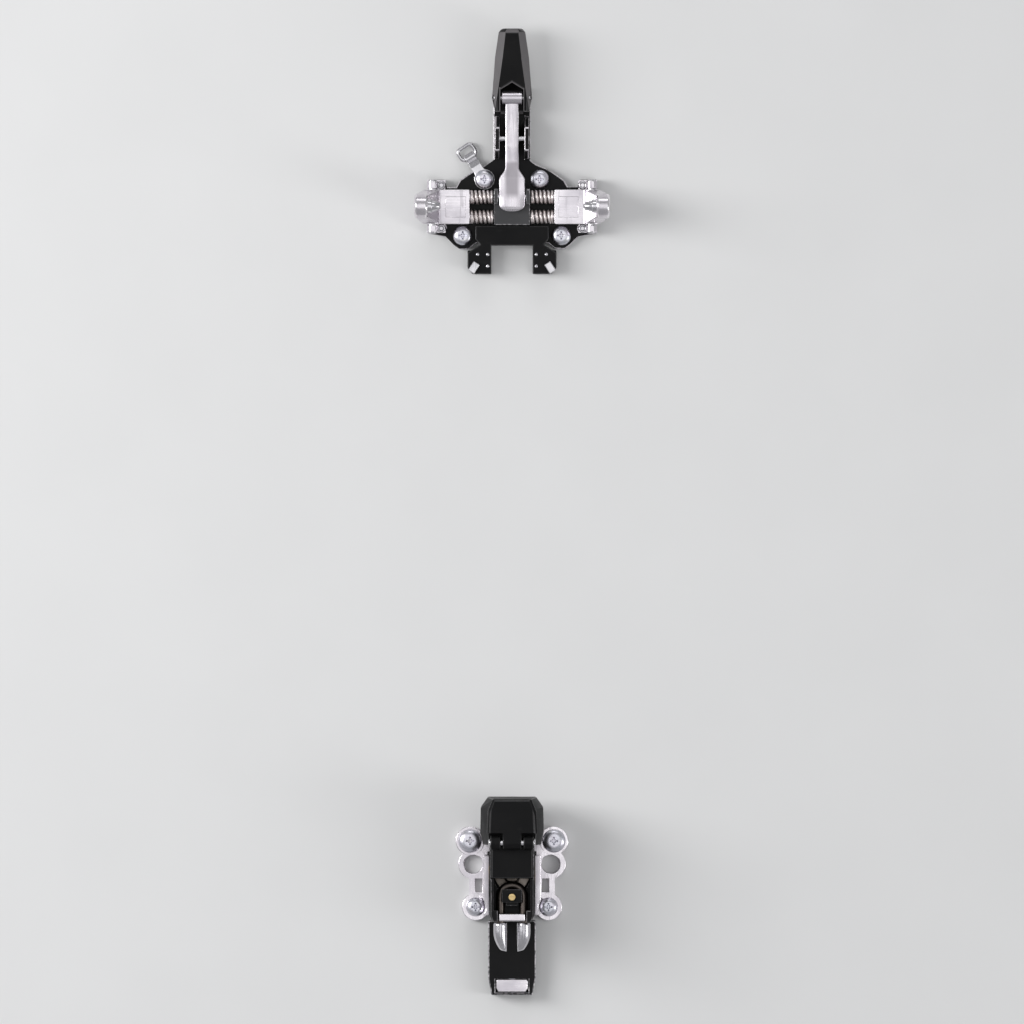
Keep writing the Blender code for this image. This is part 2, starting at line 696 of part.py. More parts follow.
def support_block(finish):
    """The walking platform: a saddle over the turret's front, with bosses for the flap's axle."""
    low = mirrored([(10.4, -257.0), (13.6, -261.5), (13.8, -272.0), (12.6, -277.6)])
    top = mirrored([(8.0, -257.8), (10.4, -262.0), (10.6, -272.0), (10.2, -277.6)])
    rings = [[(x, y, 12.4) for x, y in low], [(x, y, 33.5) for x, y in low], [(x, y, 42.6) for x, y in top]]
    saddle = loft("support_block", rings, finish)
    bosses = []
    for s in (1, -1):
        side = arc((FLAP_Y, FLAP_Z), 3.0, 0, 180, 8) + [(FLAP_Y - 1.1, 41.0), (FLAP_Y + 3.0, 41.0)]
        bosses.append(prism("boss", side, *sorted((s * 5.0, s * 9.3)), along="x"))
    join(saddle, *bosses)
    return cut(
        saddle,
        block("housing_room", (-9.3, 9.3), (-280.0, -261.7), (5, 37.8)),
        rod("driver_hole", (0, -263, LATERAL_Z), (0, -255, LATERAL_Z), 4.7),
        rod("axle_hole", (-12, FLAP_Y, FLAP_Z), (12, FLAP_Y, FLAP_Z), 1.6, sides=12),
        rod("knuckle_room", (-4.5, FLAP_Y, FLAP_Z), (4.5, FLAP_Y, FLAP_Z), 3.5, sides=20),
    )


def turret_cover(finish):
    outline = mirrored([(9.0, -278.2), (9.0, -292.1)])
    return chamfer(prism("turret_cover", outline, 41.5, HOUSING_TOP, finish), 0.4)


def u_spring(finish):
    """The spring that closes the heel pins: two legs and a bend, its ends inside the pins."""
    bend = arc((0, PIN_HINGE_Y), HEEL_PIN_X, 0, 180, 14)
    leg = [(HEEL_PIN_X, -319.0), (HEEL_PIN_X, -310.0)]
    other_leg = [(-x, y) for x, y in reversed(leg)]
    return sweep("u_spring", [(x, y, HEEL_PIN_Z) for x, y in leg + bend + other_leg], 1.9, finish, sides=10)


def heel_pin(name, sign, finish):
    """A bullet-shaped pin whose inner side runs straight, with a socket for the spring's end."""
    full_r = 2.95
    profile = [(-311.5, full_r), (-316.0, full_r)]
    profile += [(-319.5, 2.5), (-322.2, 1.8), (-323.6, 1.1), (-323.9, 0.6)]
    rings = []
    for y, radius in profile:
        x = sign * (HEEL_PIN_X - (full_r - radius))
        points = []
        for i in range(SIDES):
            angle = math.tau * i / SIDES
            points.append((x + radius * math.cos(angle), y, HEEL_PIN_Z + radius * math.sin(angle)))
        rings.append(points)
    made = loft(name, rings, finish)
    made.data.shade_smooth()
    made.data.set_sharp_from_angle(angle=math.radians(40))
    x = sign * HEEL_PIN_X
    return cut(made, rod("socket", (x, -310, HEEL_PIN_Z), (x, -319.3, HEEL_PIN_Z), 2.2, sides=12))


def spring_clamp(finish):
    outline = arc((0, PIN_HINGE_Y), 2.7, 0, 180, 10) + [(-2.7, -304.0), (2.7, -304.0)]
    clamp = prism("spring_clamp", outline, 33.5, 38.6, finish)
    join(clamp, block("cap", (-4.4, 4.4), (-302.6, -296.8), (38.2, 39.7)))
    return cut(clamp, rod("hole", (0, PIN_HINGE_Y, 35.4), (0, PIN_HINGE_Y, 41), 1.3, sides=12))


def clamp_screw(finish):
    profile = [(36.0, 1.0), (40.0, 1.0), (40.0, 1.7), (41.0, 1.5)]
    made = turned("clamp_screw", (0, PIN_HINGE_Y, 0), (0, 0, 1), profile, finish, sides=12)
    return cut(made, block("slot", (-2, 2), (PIN_HINGE_Y - 0.25, PIN_HINGE_Y + 0.25), (40.6, 42)))


def pin_retainer(finish):
    return chamfer(block("pin_retainer", (-5.8, 5.8), (-310.6, -307.4), (39.2, 42.6), finish), 0.4)


def lateral_plunger(finish):
    profile = [(-284.5, 1.2), (-284.1, 2.6), (-283.0, 4.2), (-277.2, 4.2)]
    return turned("lateral_plunger", (0, 0, LATERAL_Z), (0, 1, 0), profile, finish)


def release_screw(finish):
    profile = [(-264.3, 4.2), (-259.4, 4.2), (-258.9, 3.7)]
    made = turned("release_screw", (0, 0, LATERAL_Z), (0, 1, 0), profile, finish)
    return cut(made, block("slot", (-3.0, 3.0), (-260.4, -257), (LATERAL_Z - 0.6, LATERAL_Z + 0.6)))


def riser_flap(finish):
    """The climbing flap: a plate that lies over the platform and flips back on its knuckle."""
    outline = mirrored([(8.3, -257.4), (10.6, -263.0), (11.0, -272.8)])
    low = [(x, y, 42.9) for x, y in outline]
    high = [(x, y, 47.4) for x, y in outline]
    crown = [(x * 0.9, y - math.copysign(0.6, y + 265), 48.6) for x, y in outline]
    flap = loft("riser_flap", [low, high, crown], finish)
    side = arc((FLAP_Y, FLAP_Z), 3.0, 90, 270, 8) + [(-271.0, 43.0), (-271.0, 48.5)]
    join(flap, prism("knuckle", side, -4.0, 4.0, along="x"))
    return cut(flap, rod("hole", (-5, FLAP_Y, FLAP_Z), (5, FLAP_Y, FLAP_Z), 1.65, sides=12))


def riser_axle(finish):
    head = [(-10.3, 1.0), (-9.9, 1.8), (-9.6, 1.8), (-9.6, 1.3)]
    profile = head + [(-x, radius) for x, radius in reversed(head)]
    return turned("riser_axle", (0, FLAP_Y, FLAP_Z), (1, 0, 0), profile, finish, sides=12)


# ---------------------------------------------------------------- assembly


def carrier(name, place, parent=None):
    """An empty on a joint's axis, which carries that joint's pieces."""
    empty = bpy.data.objects.new(name, None)
    bpy.context.scene.collection.objects.link(empty)
    world = Matrix.Translation(Vector(place) * MM)
    if parent:
        empty.parent = parent
        empty.matrix_parent_inverse = parent.matrix_world.inverted()
    empty.matrix_world = world
    bpy.context.view_layer.update()
    return empty


def carry(empty, *pieces):
    for piece in pieces:
        world = piece.matrix_world.copy()
        piece.parent = empty
        piece.matrix_parent_inverse = empty.matrix_world.inverted()
        piece.matrix_world = world


def cross_pin(name, y, z, half, radius, finish):
    """A pin across the binding, with chamfered ends."""
    profile = [(-half, radius - 0.3), (0.2 - half, radius), (half - 0.2, radius), (half, radius - 0.3)]
    return turned(name, (0, y, z), (1, 0, 0), profile, finish, sides=12)


def build_toe(black, silver, steel, spring_steel, screw_steel, dark_grey, plastic):
    toe_base_plate(black)
    cross_pin("lever_pivot_pin", PIVOT_Y, PIVOT_Z, 7.6, 1.2, steel)
    crampon_bracket(plastic)
    leash_tab(steel)
    for side, sign in (("left", -1), ("right", 1)):
        hinge_bracket(f"hinge_bracket_{side}", sign, silver)
        wing_axle(f"wing_axle_{side}", sign, steel)
        crampon_insert(f"crampon_insert_{side}", sign, steel)
        for end, place in zip(("front", "rear"), rivet_places(sign)):
            hinge_rivet(f"hinge_rivet_{end}_{side}", place, steel)
        x, y = TOE_FRONT_SCREW
        seat = PLATE_TOP + GAP + (1.6 if side == "left" else 0)
        ski_screw(f"toe_screw_front_{side}", (sign * x, y), seat, 4.3, screw_steel)
        x, y = TOE_REAR_SCREW
        ski_screw(f"toe_screw_rear_{side}", (sign * x, y), PLATE_TOP + GAP, 4.4, screw_steel)

    bridge = carrier("bridge_lift", (0, 0, SPRING_Z))
    carry(bridge, spring_bridge(dark_grey), cross_pin("link_pin", LINK_Y, LINK_Z, 7.4, CROSS_PIN_R, steel))
    for side, sign in (("left", -1), ("right", 1)):
        hinge = carrier(f"wing_{side}_hinge", (sign * HINGE_X, 0, HINGE_Z))
        carry(hinge, wing(f"wing_{side}", sign, silver), toe_pin(f"toe_pin_{side}", sign, steel))
        for end, y in (("front", SPRING_Y), ("rear", -SPRING_Y)):
            start = (sign * (BRIDGE_X + GAP), y, SPRING_Z)
            stop = (sign * (WING_INNER_X - GAP), y, SPRING_Z)
            name = f"wing_spring_{end}_{side}"
            carry(bridge, coil(name, start, stop, SPRING_OUT_R, SPRING_WIRE_R, SPRING_TURNS, spring_steel))

    lever = carrier("lever_hinge", (0, PIVOT_Y, PIVOT_Z))
    carry(lever, lever_beam(silver), cross_pin("grip_pin", GRIP_PIN_Y, GRIP_PIN_Z, 8.0, CROSS_PIN_R, steel))
    lock = carrier("grip_lock", (0, GRIP_PIN_Y, GRIP_PIN_Z), lever)
    carry(lock, lever_grip(plastic))
    loop = leash_frame() @ Vector((0, LEASH_LOOP * MM, LEASH_LOOP_Z * MM))
    carry(carrier("leash_ring_hinge", loop / MM), leash_ring(steel))


def build_heel(black, silver, steel, spring_steel, screw_steel, plastic, brass):
    heel_base_plate(silver)
    heel_track(black)
    thrust_block(silver)
    for side, sign in (("left", -1), ("right", 1)):
        x, y = HEEL_FRONT_SCREW
        ski_screw(f"heel_screw_front_{side}", (sign * x, y), 3.9 + GAP, 5.2, screw_steel)
        x, y = HEEL_REAR_SCREW
        ski_screw(f"heel_screw_rear_{side}", (sign * x, y), 3.7 + GAP, 4.2, screw_steel)

    slide = carrier("carriage_slide", (0, TURRET_Y, 0))
    carry(slide, slide_carriage(black), turret_post(steel), post_nut(steel), turret_washer(brass))
    carry(carrier("adjust_screw_spin", (0, TURRET_Y, ADJUST_Z)), adjust_screw(screw_steel))
    turret = carrier("turret_spin", (0, TURRET_Y, HOUSING_BOTTOM), slide)
    carry(turret, turret_housing(black), spring_clamp(black), support_block(plastic), turret_cover(plastic))
    carry(turret, u_spring(spring_steel), clamp_screw(brass), pin_retainer(silver))
    carry(turret, riser_axle(steel), lateral_plunger(steel))
    spring_ends = ((0, -276.9, LATERAL_Z), (0, -264.6, LATERAL_Z))
    carry(turret, coil("lateral_spring", *spring_ends, 4.0, 0.75, 5, spring_steel))
    carry(carrier("release_screw_turn", (0, -260, LATERAL_Z), turret), release_screw(brass))
    carry(carrier("riser_flip", (0, FLAP_Y, FLAP_Z), turret), riser_flap(plastic))
    for side, sign in (("left", -1), ("right", 1)):
        hinge = carrier(f"heel_pin_{side}_spread", (sign * HEEL_PIN_X, PIN_HINGE_Y, HEEL_PIN_Z), turret)
        carry(hinge, heel_pin(f"heel_pin_{side}", sign, steel))


def main():
    for old in list(bpy.data.objects):
        bpy.data.objects.remove(old, do_unlink=True)
    black = material("black_anodised", (0.012, 0.012, 0.014), 0.38, 0.6)
    silver = material("bright_aluminium", (0.78, 0.74, 0.78), 0.28, 1.0)
    steel = material("polished_steel", (0.72, 0.70, 0.72), 0.2, 1.0)
    spring_steel = material("spring_steel", (0.52, 0.48, 0.47), 0.35, 1.0)
    screw_steel = material("zinc_steel", (0.68, 0.72, 0.78), 0.3, 1.0)
    dark_grey = material("dark_grey_anodised", (0.06, 0.06, 0.065), 0.42, 0.6)
    plastic = material("black_plastic", (0.014, 0.014, 0.015), 0.5, 0.0)
    brass = material("brass", (0.62, 0.48, 0.25), 0.35, 1.0)
    build_toe(black, silver, steel, spring_steel, screw_steel, dark_grey, plastic)
    build_heel(black, silver, steel, spring_steel, screw_steel, plastic, brass)


main()
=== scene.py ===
"""The looks of a touring binding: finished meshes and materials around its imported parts.

Lengths are in millimetres, which MM turns into metres, but those of the stage are in metres. Places
come from the frame where a CAD node has them.
"""

import json
import math

import bmesh
import bpy
from mathutils import Matrix, Vector
from mathutils.bvhtree import BVHTree
from mathutils.geometry import intersect_line_line_2d, intersect_point_line


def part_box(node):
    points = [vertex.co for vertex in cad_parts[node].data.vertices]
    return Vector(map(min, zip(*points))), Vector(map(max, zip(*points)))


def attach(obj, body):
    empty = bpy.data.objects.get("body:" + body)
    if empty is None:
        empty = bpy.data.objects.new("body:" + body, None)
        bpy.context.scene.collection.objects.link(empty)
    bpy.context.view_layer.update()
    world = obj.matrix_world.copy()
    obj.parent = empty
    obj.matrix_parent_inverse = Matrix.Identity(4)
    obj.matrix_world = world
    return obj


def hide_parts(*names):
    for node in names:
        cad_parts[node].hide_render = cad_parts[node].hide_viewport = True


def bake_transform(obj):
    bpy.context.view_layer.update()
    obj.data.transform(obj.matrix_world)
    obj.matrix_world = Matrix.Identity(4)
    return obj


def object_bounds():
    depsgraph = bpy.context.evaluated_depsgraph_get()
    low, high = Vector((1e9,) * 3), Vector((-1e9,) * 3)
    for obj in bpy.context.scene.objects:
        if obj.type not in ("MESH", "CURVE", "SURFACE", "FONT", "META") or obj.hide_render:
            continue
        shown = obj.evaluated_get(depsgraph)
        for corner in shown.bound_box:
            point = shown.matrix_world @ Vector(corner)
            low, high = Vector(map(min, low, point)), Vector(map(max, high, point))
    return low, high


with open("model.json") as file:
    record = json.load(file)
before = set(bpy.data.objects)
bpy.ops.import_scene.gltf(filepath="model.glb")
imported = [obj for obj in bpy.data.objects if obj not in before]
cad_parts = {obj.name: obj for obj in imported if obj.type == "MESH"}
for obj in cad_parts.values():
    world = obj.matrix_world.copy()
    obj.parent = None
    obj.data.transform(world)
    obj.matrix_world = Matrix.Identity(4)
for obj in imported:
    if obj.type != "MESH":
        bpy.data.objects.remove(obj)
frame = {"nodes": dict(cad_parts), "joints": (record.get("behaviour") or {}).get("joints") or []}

cad_low, cad_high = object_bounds()

MM = 0.001
SIDES = (("left", -1), ("right", 1))
ENDS = ("front", "rear")

ROUND = 48                        # sides of a turned piece
MIDDLE_ROUND = 32                 # sides of a thin one
SMALL_ROUND = 24                  # sides of a tiny one, and of a hole
RINGS = 8                         # rings for each pitch of a thread

# How the CAD nodes' edges are rounded
WELD = 0.004                      # corners closer than this are one
SHORTEST = 0.01                   # edges shorter than this collapse before the rounding
FLAT_ANGLE = 0.8                  # degrees by which parts of one flat face may differ
OUTER_ANGLE = 33                  # degrees that an edge has to turn outward to be rounded
ROUND_SEGMENTS = 3
ROOM_MOST = 60.0                  # how far across a face is looked
ROOM_PLACES = (0.08, 0.5, 0.92)   # along an edge, where the room beside it is measured
ROOM_FACTOR = 2.3                 # the room beside an edge is at least this many roundings
STRAY = 0.04                      # how far outside the CAD solid a corner may be
FAULT_REACH = 1.2                 # a fault narrows the edges within this many roundings
ATTEMPTS = 7
SLOPE = (0.45, 0.96)              # upward share of the normal of a sloping face that gets a painted sheen

# Lever, with places along the ski
SCOOP = (4.2, 19.7)               # the paddle's scoop
SCOOP_DEPTH = 0.35
FLARE, FLARE_LENGTH = 11.6, 5.4   # where the paddle narrows into the beam
BEAM_END = 46.5
ROUND_END = 3.2                   # length of the paddle's rounded end

LEASH_TURN = 33                   # degrees that the leash tab points away from straight ahead

# Stage, in metres
FLOOR_HALF = 6.0
FLOOR_DROP = 0.00002              # keeps the floor clear of the undersides
FRAME_SIDE = 0.447                # width that the camera sees
LENS, SENSOR = 600, 36            # in millimetres, as a camera's are


# ---------------------------------------------------------------- places from the frame


def span(node):
    """A CAD node's lowest and highest corner, in millimetres."""
    low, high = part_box(node)
    return low / MM, high / MM


def middle(node):
    """The centre of a CAD node's box, in millimetres."""
    low, high = span(node)
    return (low + high) / 2


# ---------------------------------------------------------------- materials


class Graph:
    """A material and short ways to add shader nodes to it. Its textures are in metres."""

    def __init__(self, name):
        self.material = bpy.data.materials.new(name)
        self.material.use_nodes = True
        self.tree = self.material.node_tree
        self.shader = self.tree.nodes["Principled BSDF"]
        self.where = self.tree.nodes.new("ShaderNodeTexCoord").outputs["Object"]

    def put(self, socket, value):
        if isinstance(value, bpy.types.NodeSocket):
            self.tree.links.new(value, socket)
        else:
            socket.default_value = value

    def set(self, **values):
        """Sets the shader's own sockets, such as base_color=..."""
        for name, value in values.items():
            self.put(self.shader.inputs[name.replace("_", " ").title().replace("Ior", "IOR")], value)

    def noise(self, size, detail=2.0, stretch=(1, 1, 1), distortion=0.0):
        """Cloudy noise whose spots are about size millimetres; a stretch under 1 draws them out."""
        mapping = self.tree.nodes.new("ShaderNodeMapping")
        self.put(mapping.inputs["Vector"], self.where)
        mapping.inputs["Scale"].default_value = stretch
        made = self.tree.nodes.new("ShaderNodeTexNoise")
        self.put(made.inputs["Vector"], mapping.outputs["Vector"])
        made.inputs["Scale"].default_value = 1 / (size * MM)
        made.inputs["Detail"].default_value = detail
        made.inputs["Distortion"].default_value = distortion
        return made.outputs[0]

    def cells(self, size):
        made = self.tree.nodes.new("ShaderNodeTexVoronoi")
        self.put(made.inputs["Vector"], self.where)
        made.inputs["Scale"].default_value = 1 / (size * MM)
        return made.outputs["Distance"]

    def level(self, value, low, high, to_low=0.0, to_high=1.0):
        made = self.tree.nodes.new("ShaderNodeMapRange")
        for socket, number in zip(made.inputs, (value, low, high, to_low, to_high)):
            self.put(socket, number)
        return made.outputs[0]

    def math(self, operation, a, b):
        made = self.tree.nodes.new("ShaderNodeMath")
        made.operation = operation
        self.put(made.inputs[0], a)
        self.put(made.inputs[1], b)
        return made.outputs[0]

    def mix(self, share, a, b):
        made = self.tree.nodes.new("ShaderNodeMix")
        made.data_type = "RGBA"
        self.put(made.inputs[0], share)
        self.put(made.inputs[6], (*a, 1) if isinstance(a, tuple) else a)
        self.put(made.inputs[7], (*b, 1) if isinstance(b, tuple) else b)
        return made.outputs[2]

    def bump(self, height, depth):
        """Raises the surface by up to depth millimetres where height is 1."""
        made = self.tree.nodes.new("ShaderNodeBump")
        self.put(made.inputs["Height"], height)
        made.inputs["Distance"].default_value = depth * MM
        made.inputs["Strength"].default_value = 1.0
        self.put(self.shader.inputs["Normal"], made.outputs["Normal"])


def scoop_shade_share(graph):
    """Painted shade on the lever's paddle: 1 along its middle, fading to 0 at its sides and at both ends.
    """
    split = graph.tree.nodes.new("ShaderNodeSeparateXYZ")
    graph.put(split.inputs[0], graph.where)
    aside = graph.math("ABSOLUTE", split.outputs["X"], 0.0)
    rim, inner = 3.6, 2.1
    share = graph.level(aside, rim * MM, inner * MM)
    for outside, inside in ((3.2, 6.0), (20.4, 18.8)):
        faded = graph.level(split.outputs["Y"], outside * MM, inside * MM)
        share = graph.math("MULTIPLY", share, faded)
    return share


def metal(name, colour, shade, roughness, spread, stretch, depth=0.004, scratched=0.5, scoop_shade=None):
    """Bare metal: cloudy tone, a drawn-out grain along the tool's path, and fine scratches.

    A shade colour, where given, is painted shade that darkens the lever's scoop.
    """
    graph = Graph(name)
    cloud = graph.noise(14.0, 4.0)
    grain = graph.noise(0.35, 3.0, stretch)
    scratch = graph.level(graph.noise(1.6, 6.0, (0.9, 0.06, 0.5), 0.6), 0.63, 0.67)
    scratch = graph.math("MULTIPLY", scratch, scratched)
    tone = graph.mix(graph.level(cloud, 0.35, 0.68), colour, shade)
    tone = graph.mix(graph.level(grain, 0.30, 0.70, 0.0, 0.22), tone, shade)
    tone = graph.mix(graph.math("MULTIPLY", scratch, 0.5), tone, tuple(0.55 * c for c in shade))
    rough = graph.level(cloud, 0.3, 0.7, roughness - spread, roughness + spread)
    rough = graph.math("ADD", rough, graph.level(grain, 0.3, 0.7, -0.04, 0.06))
    rough = graph.math("ADD", rough, graph.math("MULTIPLY", scratch, 0.16))
    # painted shade: the scoop's colour is darkened towards the shade colour
    if scoop_shade:
        share = scoop_shade_share(graph)
        tone = graph.mix(share, tone, scoop_shade)
        rough = graph.math("ADD", rough, graph.math("MULTIPLY", share, 0.12))
    graph.set(base_color=tone, roughness=rough, metallic=1.0)
    graph.bump(graph.math("SUBTRACT", grain, graph.math("MULTIPLY", scratch, 0.6)), depth)
    return graph.material


def coated(name, colour, dust, roughness, spread, grain_size, depth, specular):
    """A dark coat or a moulded plastic: even colour, fine grain, and faint dust in the grain."""
    graph = Graph(name)
    cloud = graph.noise(18.0, 4.0)
    grain = graph.noise(grain_size, 3.0)
    pits = graph.level(graph.cells(grain_size * 1.4), 0.1, 0.5)
    rub = graph.level(graph.noise(2.4, 5.0, (0.25, 1, 1), 0.8), 0.62, 0.72)
    tone = graph.mix(graph.level(cloud, 0.42, 0.75, 0.0, 0.5), colour, dust)
    tone = graph.mix(graph.math("MULTIPLY", rub, 0.35), tone, dust)
    rough = graph.level(cloud, 0.3, 0.7, roughness - spread, roughness + spread)
    rough = graph.math("ADD", rough, graph.math("MULTIPLY", rub, -0.07))
    graph.set(base_color=tone, roughness=rough, specular_ior_level=specular)
    graph.bump(graph.math("ADD", grain, graph.math("MULTIPLY", pits, 0.5)), depth)
    return graph.material


def worn_edge(name, coat, bare, wear, roughness):
    """An edge where the coat is rubbed through in patches to what is under it."""
    graph = Graph(name)
    patch = graph.noise(1.1, 5.0, distortion=0.5)
    broad = graph.noise(9.0, 3.0)
    rubbed = graph.math("ADD", patch, graph.math("MULTIPLY", broad, 0.35))
    share = graph.level(rubbed, 0.82 - wear, 0.92 - wear)
    graph.set(
        base_color=graph.mix(share, coat, bare),
        roughness=graph.level(patch, 0.3, 0.7, roughness - 0.06, roughness + 0.08),
        metallic=graph.math("MULTIPLY", share, 0.9),
    )
    graph.bump(patch, 0.006)
    return graph.material


def zinc(name):
    """Zinc plate: bluish, with faint yellow and violet clouds."""
    graph = Graph(name)
    cloud = graph.noise(3.5, 3.0, distortion=0.7)
    other = graph.noise(2.2, 3.0)
    grain = graph.noise(0.3, 2.0)
    tone = graph.mix(graph.level(cloud, 0.35, 0.7), (0.65, 0.66, 0.72), (0.75, 0.72, 0.79))
    tone = graph.mix(graph.level(other, 0.55, 0.75, 0.0, 0.45), tone, (0.66, 0.64, 0.56))
    graph.set(base_color=tone, roughness=graph.level(grain, 0.3, 0.7, 0.24, 0.40), metallic=1.0)
    graph.bump(grain, 0.006)
    return graph.material


# How grain is drawn out: along an axis, round it, or as on drawn wire
ALONG = {"x": (0.04, 1, 1), "y": (1, 0.04, 1)}
ROUND_ABOUT = {"x": (1, 0.03, 0.03), "y": (0.03, 1, 0.03), "z": (0.03, 0.03, 1)}
DRAWN = (0.3, 0.3, 0.3)

SILVER, SILVER_SHADE = (0.80, 0.765, 0.80), (0.60, 0.57, 0.615)
STEEL, STEEL_SHADE = (0.74, 0.73, 0.75), (0.50, 0.49, 0.52)
BLACK, BLACK_DUST = (0.0055, 0.0055, 0.006), (0.014, 0.0135, 0.014)

silver_x = metal("bright_aluminium_x", SILVER, SILVER_SHADE, 0.27, 0.06, ALONG["x"])
silver_y = metal("bright_aluminium_y", SILVER, SILVER_SHADE, 0.27, 0.06, ALONG["y"])
# the lever's aluminium, with painted shade over the scoop of its paddle
silver_lever = metal(
    "bright_aluminium_lever", SILVER, SILVER_SHADE, 0.27, 0.06, ALONG["y"], scoop_shade=(0.42, 0.395, 0.425)
)
silver_edge = metal("bright_aluminium_edge", (0.90, 0.88, 0.91), SILVER, 0.2, 0.05, ALONG["y"], 0.003)
steel_flat = metal("steel_flat", STEEL, STEEL_SHADE, 0.24, 0.06, ALONG["y"], 0.003)
steel_edge = metal("steel_edge", (0.86, 0.85, 0.87), STEEL, 0.18, 0.04, ALONG["y"], 0.002)
steel_turned = {
    axis: metal("steel_turned_" + axis, STEEL, STEEL_SHADE, 0.2, 0.05, grain, 0.003, 0.3)
    for axis, grain in ROUND_ABOUT.items()
}
spring_wire = metal("spring_wire", (0.88, 0.81, 0.80), (0.70, 0.64, 0.63), 0.40, 0.06, DRAWN)
dark_wire = metal("blackened_spring_wire", (0.13, 0.11, 0.10), (0.07, 0.06, 0.055), 0.3, 0.06, DRAWN)
dark_steel = metal("oiled_steel", (0.24, 0.21, 0.19), (0.13, 0.115, 0.10), 0.34, 0.06, ROUND_ABOUT["z"])
brass = metal("brass", (0.66, 0.50, 0.25), (0.45, 0.33, 0.16), 0.3, 0.07, ALONG["x"])
zinc_plate = zinc("zinc_plate")
black_coat = coated("black_anodised", BLACK, BLACK_DUST, 0.36, 0.06, 0.30, 0.006, 0.11)
cut_edge = worn_edge("black_anodised_cut_edge", (0.10, 0.095, 0.10), (0.66, 0.63, 0.66), 0.34, 0.28)
black_edge = worn_edge("black_anodised_edge", (0.020, 0.019, 0.020), (0.16, 0.15, 0.16), 0.16, 0.3)
grey_coat = coated(
    "dark_grey_anodised", (0.045, 0.045, 0.048), (0.075, 0.073, 0.075), 0.38, 0.06, 0.28, 0.006, 0.3
)
grey_edge = worn_edge("dark_grey_edge", (0.09, 0.09, 0.095), (0.50, 0.48, 0.50), 0.20, 0.32)
plastic = coated(
    "black_plastic", (0.005, 0.005, 0.0055), (0.013, 0.0125, 0.0125), 0.44, 0.07, 0.42, 0.012, 0.10
)
plastic_edge = worn_edge("black_plastic_edge", (0.014, 0.014, 0.015), (0.045, 0.043, 0.044), 0.15, 0.34)
# lighter black plastic for sloping faces: painted sheen of the side lights
plastic_slope_sheen = coated(
    "black_plastic_painted_sheen", (0.115, 0.108, 0.112), (0.155, 0.147, 0.151), 0.42, 0.06, 0.36, 0.012, 0.3
)


# ---------------------------------------------------------------- mesh tools


def finished(name, bm, body, nodes, materials, sharp=38):
    """A shown piece from a mesh in millimetres. It rides on a body and stands for CAD nodes."""
    bmesh.ops.scale(bm, vec=(MM, MM, MM), verts=bm.verts)
    mesh = bpy.data.meshes.new(name)
    bm.to_mesh(mesh)
    bm.free()
    for each in materials:
        mesh.materials.append(each)
    mesh.shade_smooth()
    mesh.set_sharp_from_angle(angle=math.radians(sharp))
    made = bpy.data.objects.new(name, mesh)
    bpy.context.scene.collection.objects.link(made)
    normals = made.modifiers.new("even_shading", "WEIGHTED_NORMAL")
    normals.keep_sharp = True
    if body:
        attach(made, body)
        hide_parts(*nodes)
    return made


def closed_rows(bm, rows, capped=True):
    """Skins rings that have the same number of vertices, and closes both ends."""
    count = len(rows[0])
    for low, high in zip(rows, rows[1:]):
        for i in range(count):
            k = (i + 1) % count
            bm.faces.new((low[i], low[k], high[k], high[i]))
    if capped:
        bm.faces.new(rows[0])
        bm.faces.new(rows[-1])


def turned_mesh(centre, axis, profile, sides=ROUND, thread=None):
    """A turned solid from its profile of (distance along the axis, radius).

    A thread on it is (start, end, pitch, depth).
    """
    bm = bmesh.new()
    turn = Vector(axis).to_track_quat("Z", "X").to_matrix()
    if thread:
        profile = with_thread_rows(profile, thread)
    rows = []
    for along, radius in profile:
        row = []
        for i in range(sides):
            share = (i + 0.5) / sides
            here = radius - thread_depth(along, share, thread)
            angle = math.tau * share
            point = Vector((here * math.cos(angle), here * math.sin(angle), along))
            row.append(bm.verts.new(Vector(centre) + turn @ point))
        rows.append(row)
    closed_rows(bm, rows)
    bmesh.ops.recalc_face_normals(bm, faces=bm.faces)
    return bm


def with_thread_rows(profile, thread):
    """Adds rings to the straight stretch that carries the thread."""
    start, end, pitch, _ = thread
    radius = next(r for a, r in profile if a >= start)
    steps = round((end - start) / pitch * RINGS)
    rows = [(start + (end - start) * i / steps, radius) for i in range(steps + 1)]
    before = [p for p in profile if p[0] < start]
    after = [p for p in profile if p[0] > end]
    return before + rows + after


def thread_depth(along, share, thread):
    """How far a thread's flank lies under its crest, faded out at both ends of the thread."""
    if not thread:
        return 0.0
    start, end, pitch, depth = thread
    phase = (along / pitch - share) % 1.0
    flank = min(1.0, max(0.0, 2.6 * abs(phase - 0.5) - 0.1))
    fade = min(1.0, max(0.0, (along - start) / pitch), max(0.0, (end - along) / pitch))
    return depth * (1 - flank) * fade


def swept_mesh(path, radius, sides=16, closed=False, square_start=False):
    """A round wire along a path. An open end gets a rounded edge, unless it is left square."""
    corner, end_share = 0.3, 0.72
    points = [Vector(p) for p in path]
    radii = [radius] * len(points)
    if not closed:
        points.insert(-1, points[-1] - (points[-1] - points[-2]).normalized() * radius * corner)
        radii = radii + [radius * end_share]
    if not closed and not square_start:
        points.insert(1, points[0] + (points[1] - points[0]).normalized() * radius * corner)
        radii = [radius * end_share] + radii
    count = len(points)
    bm = bmesh.new()
    rows = []
    side = None
    for i, point in enumerate(points):
        before = points[i - 1] if closed or i else point
        after = points[(i + 1) % count] if closed or i < count - 1 else point
        run = (after - before).normalized()
        side = side or run.orthogonal()
        side = (side - run * side.dot(run)).normalized()
        up = run.cross(side)
        row = []
        for k in range(sides):
            angle = math.tau * k / sides
            row.append(bm.verts.new(point + radii[i] * (math.cos(angle) * side + math.sin(angle) * up)))
        rows.append(row)
    if closed:
        rows.append(rows[0])
    closed_rows(bm, rows, capped=not closed)
    bmesh.ops.recalc_face_normals(bm, faces=bm.faces)
    return bm


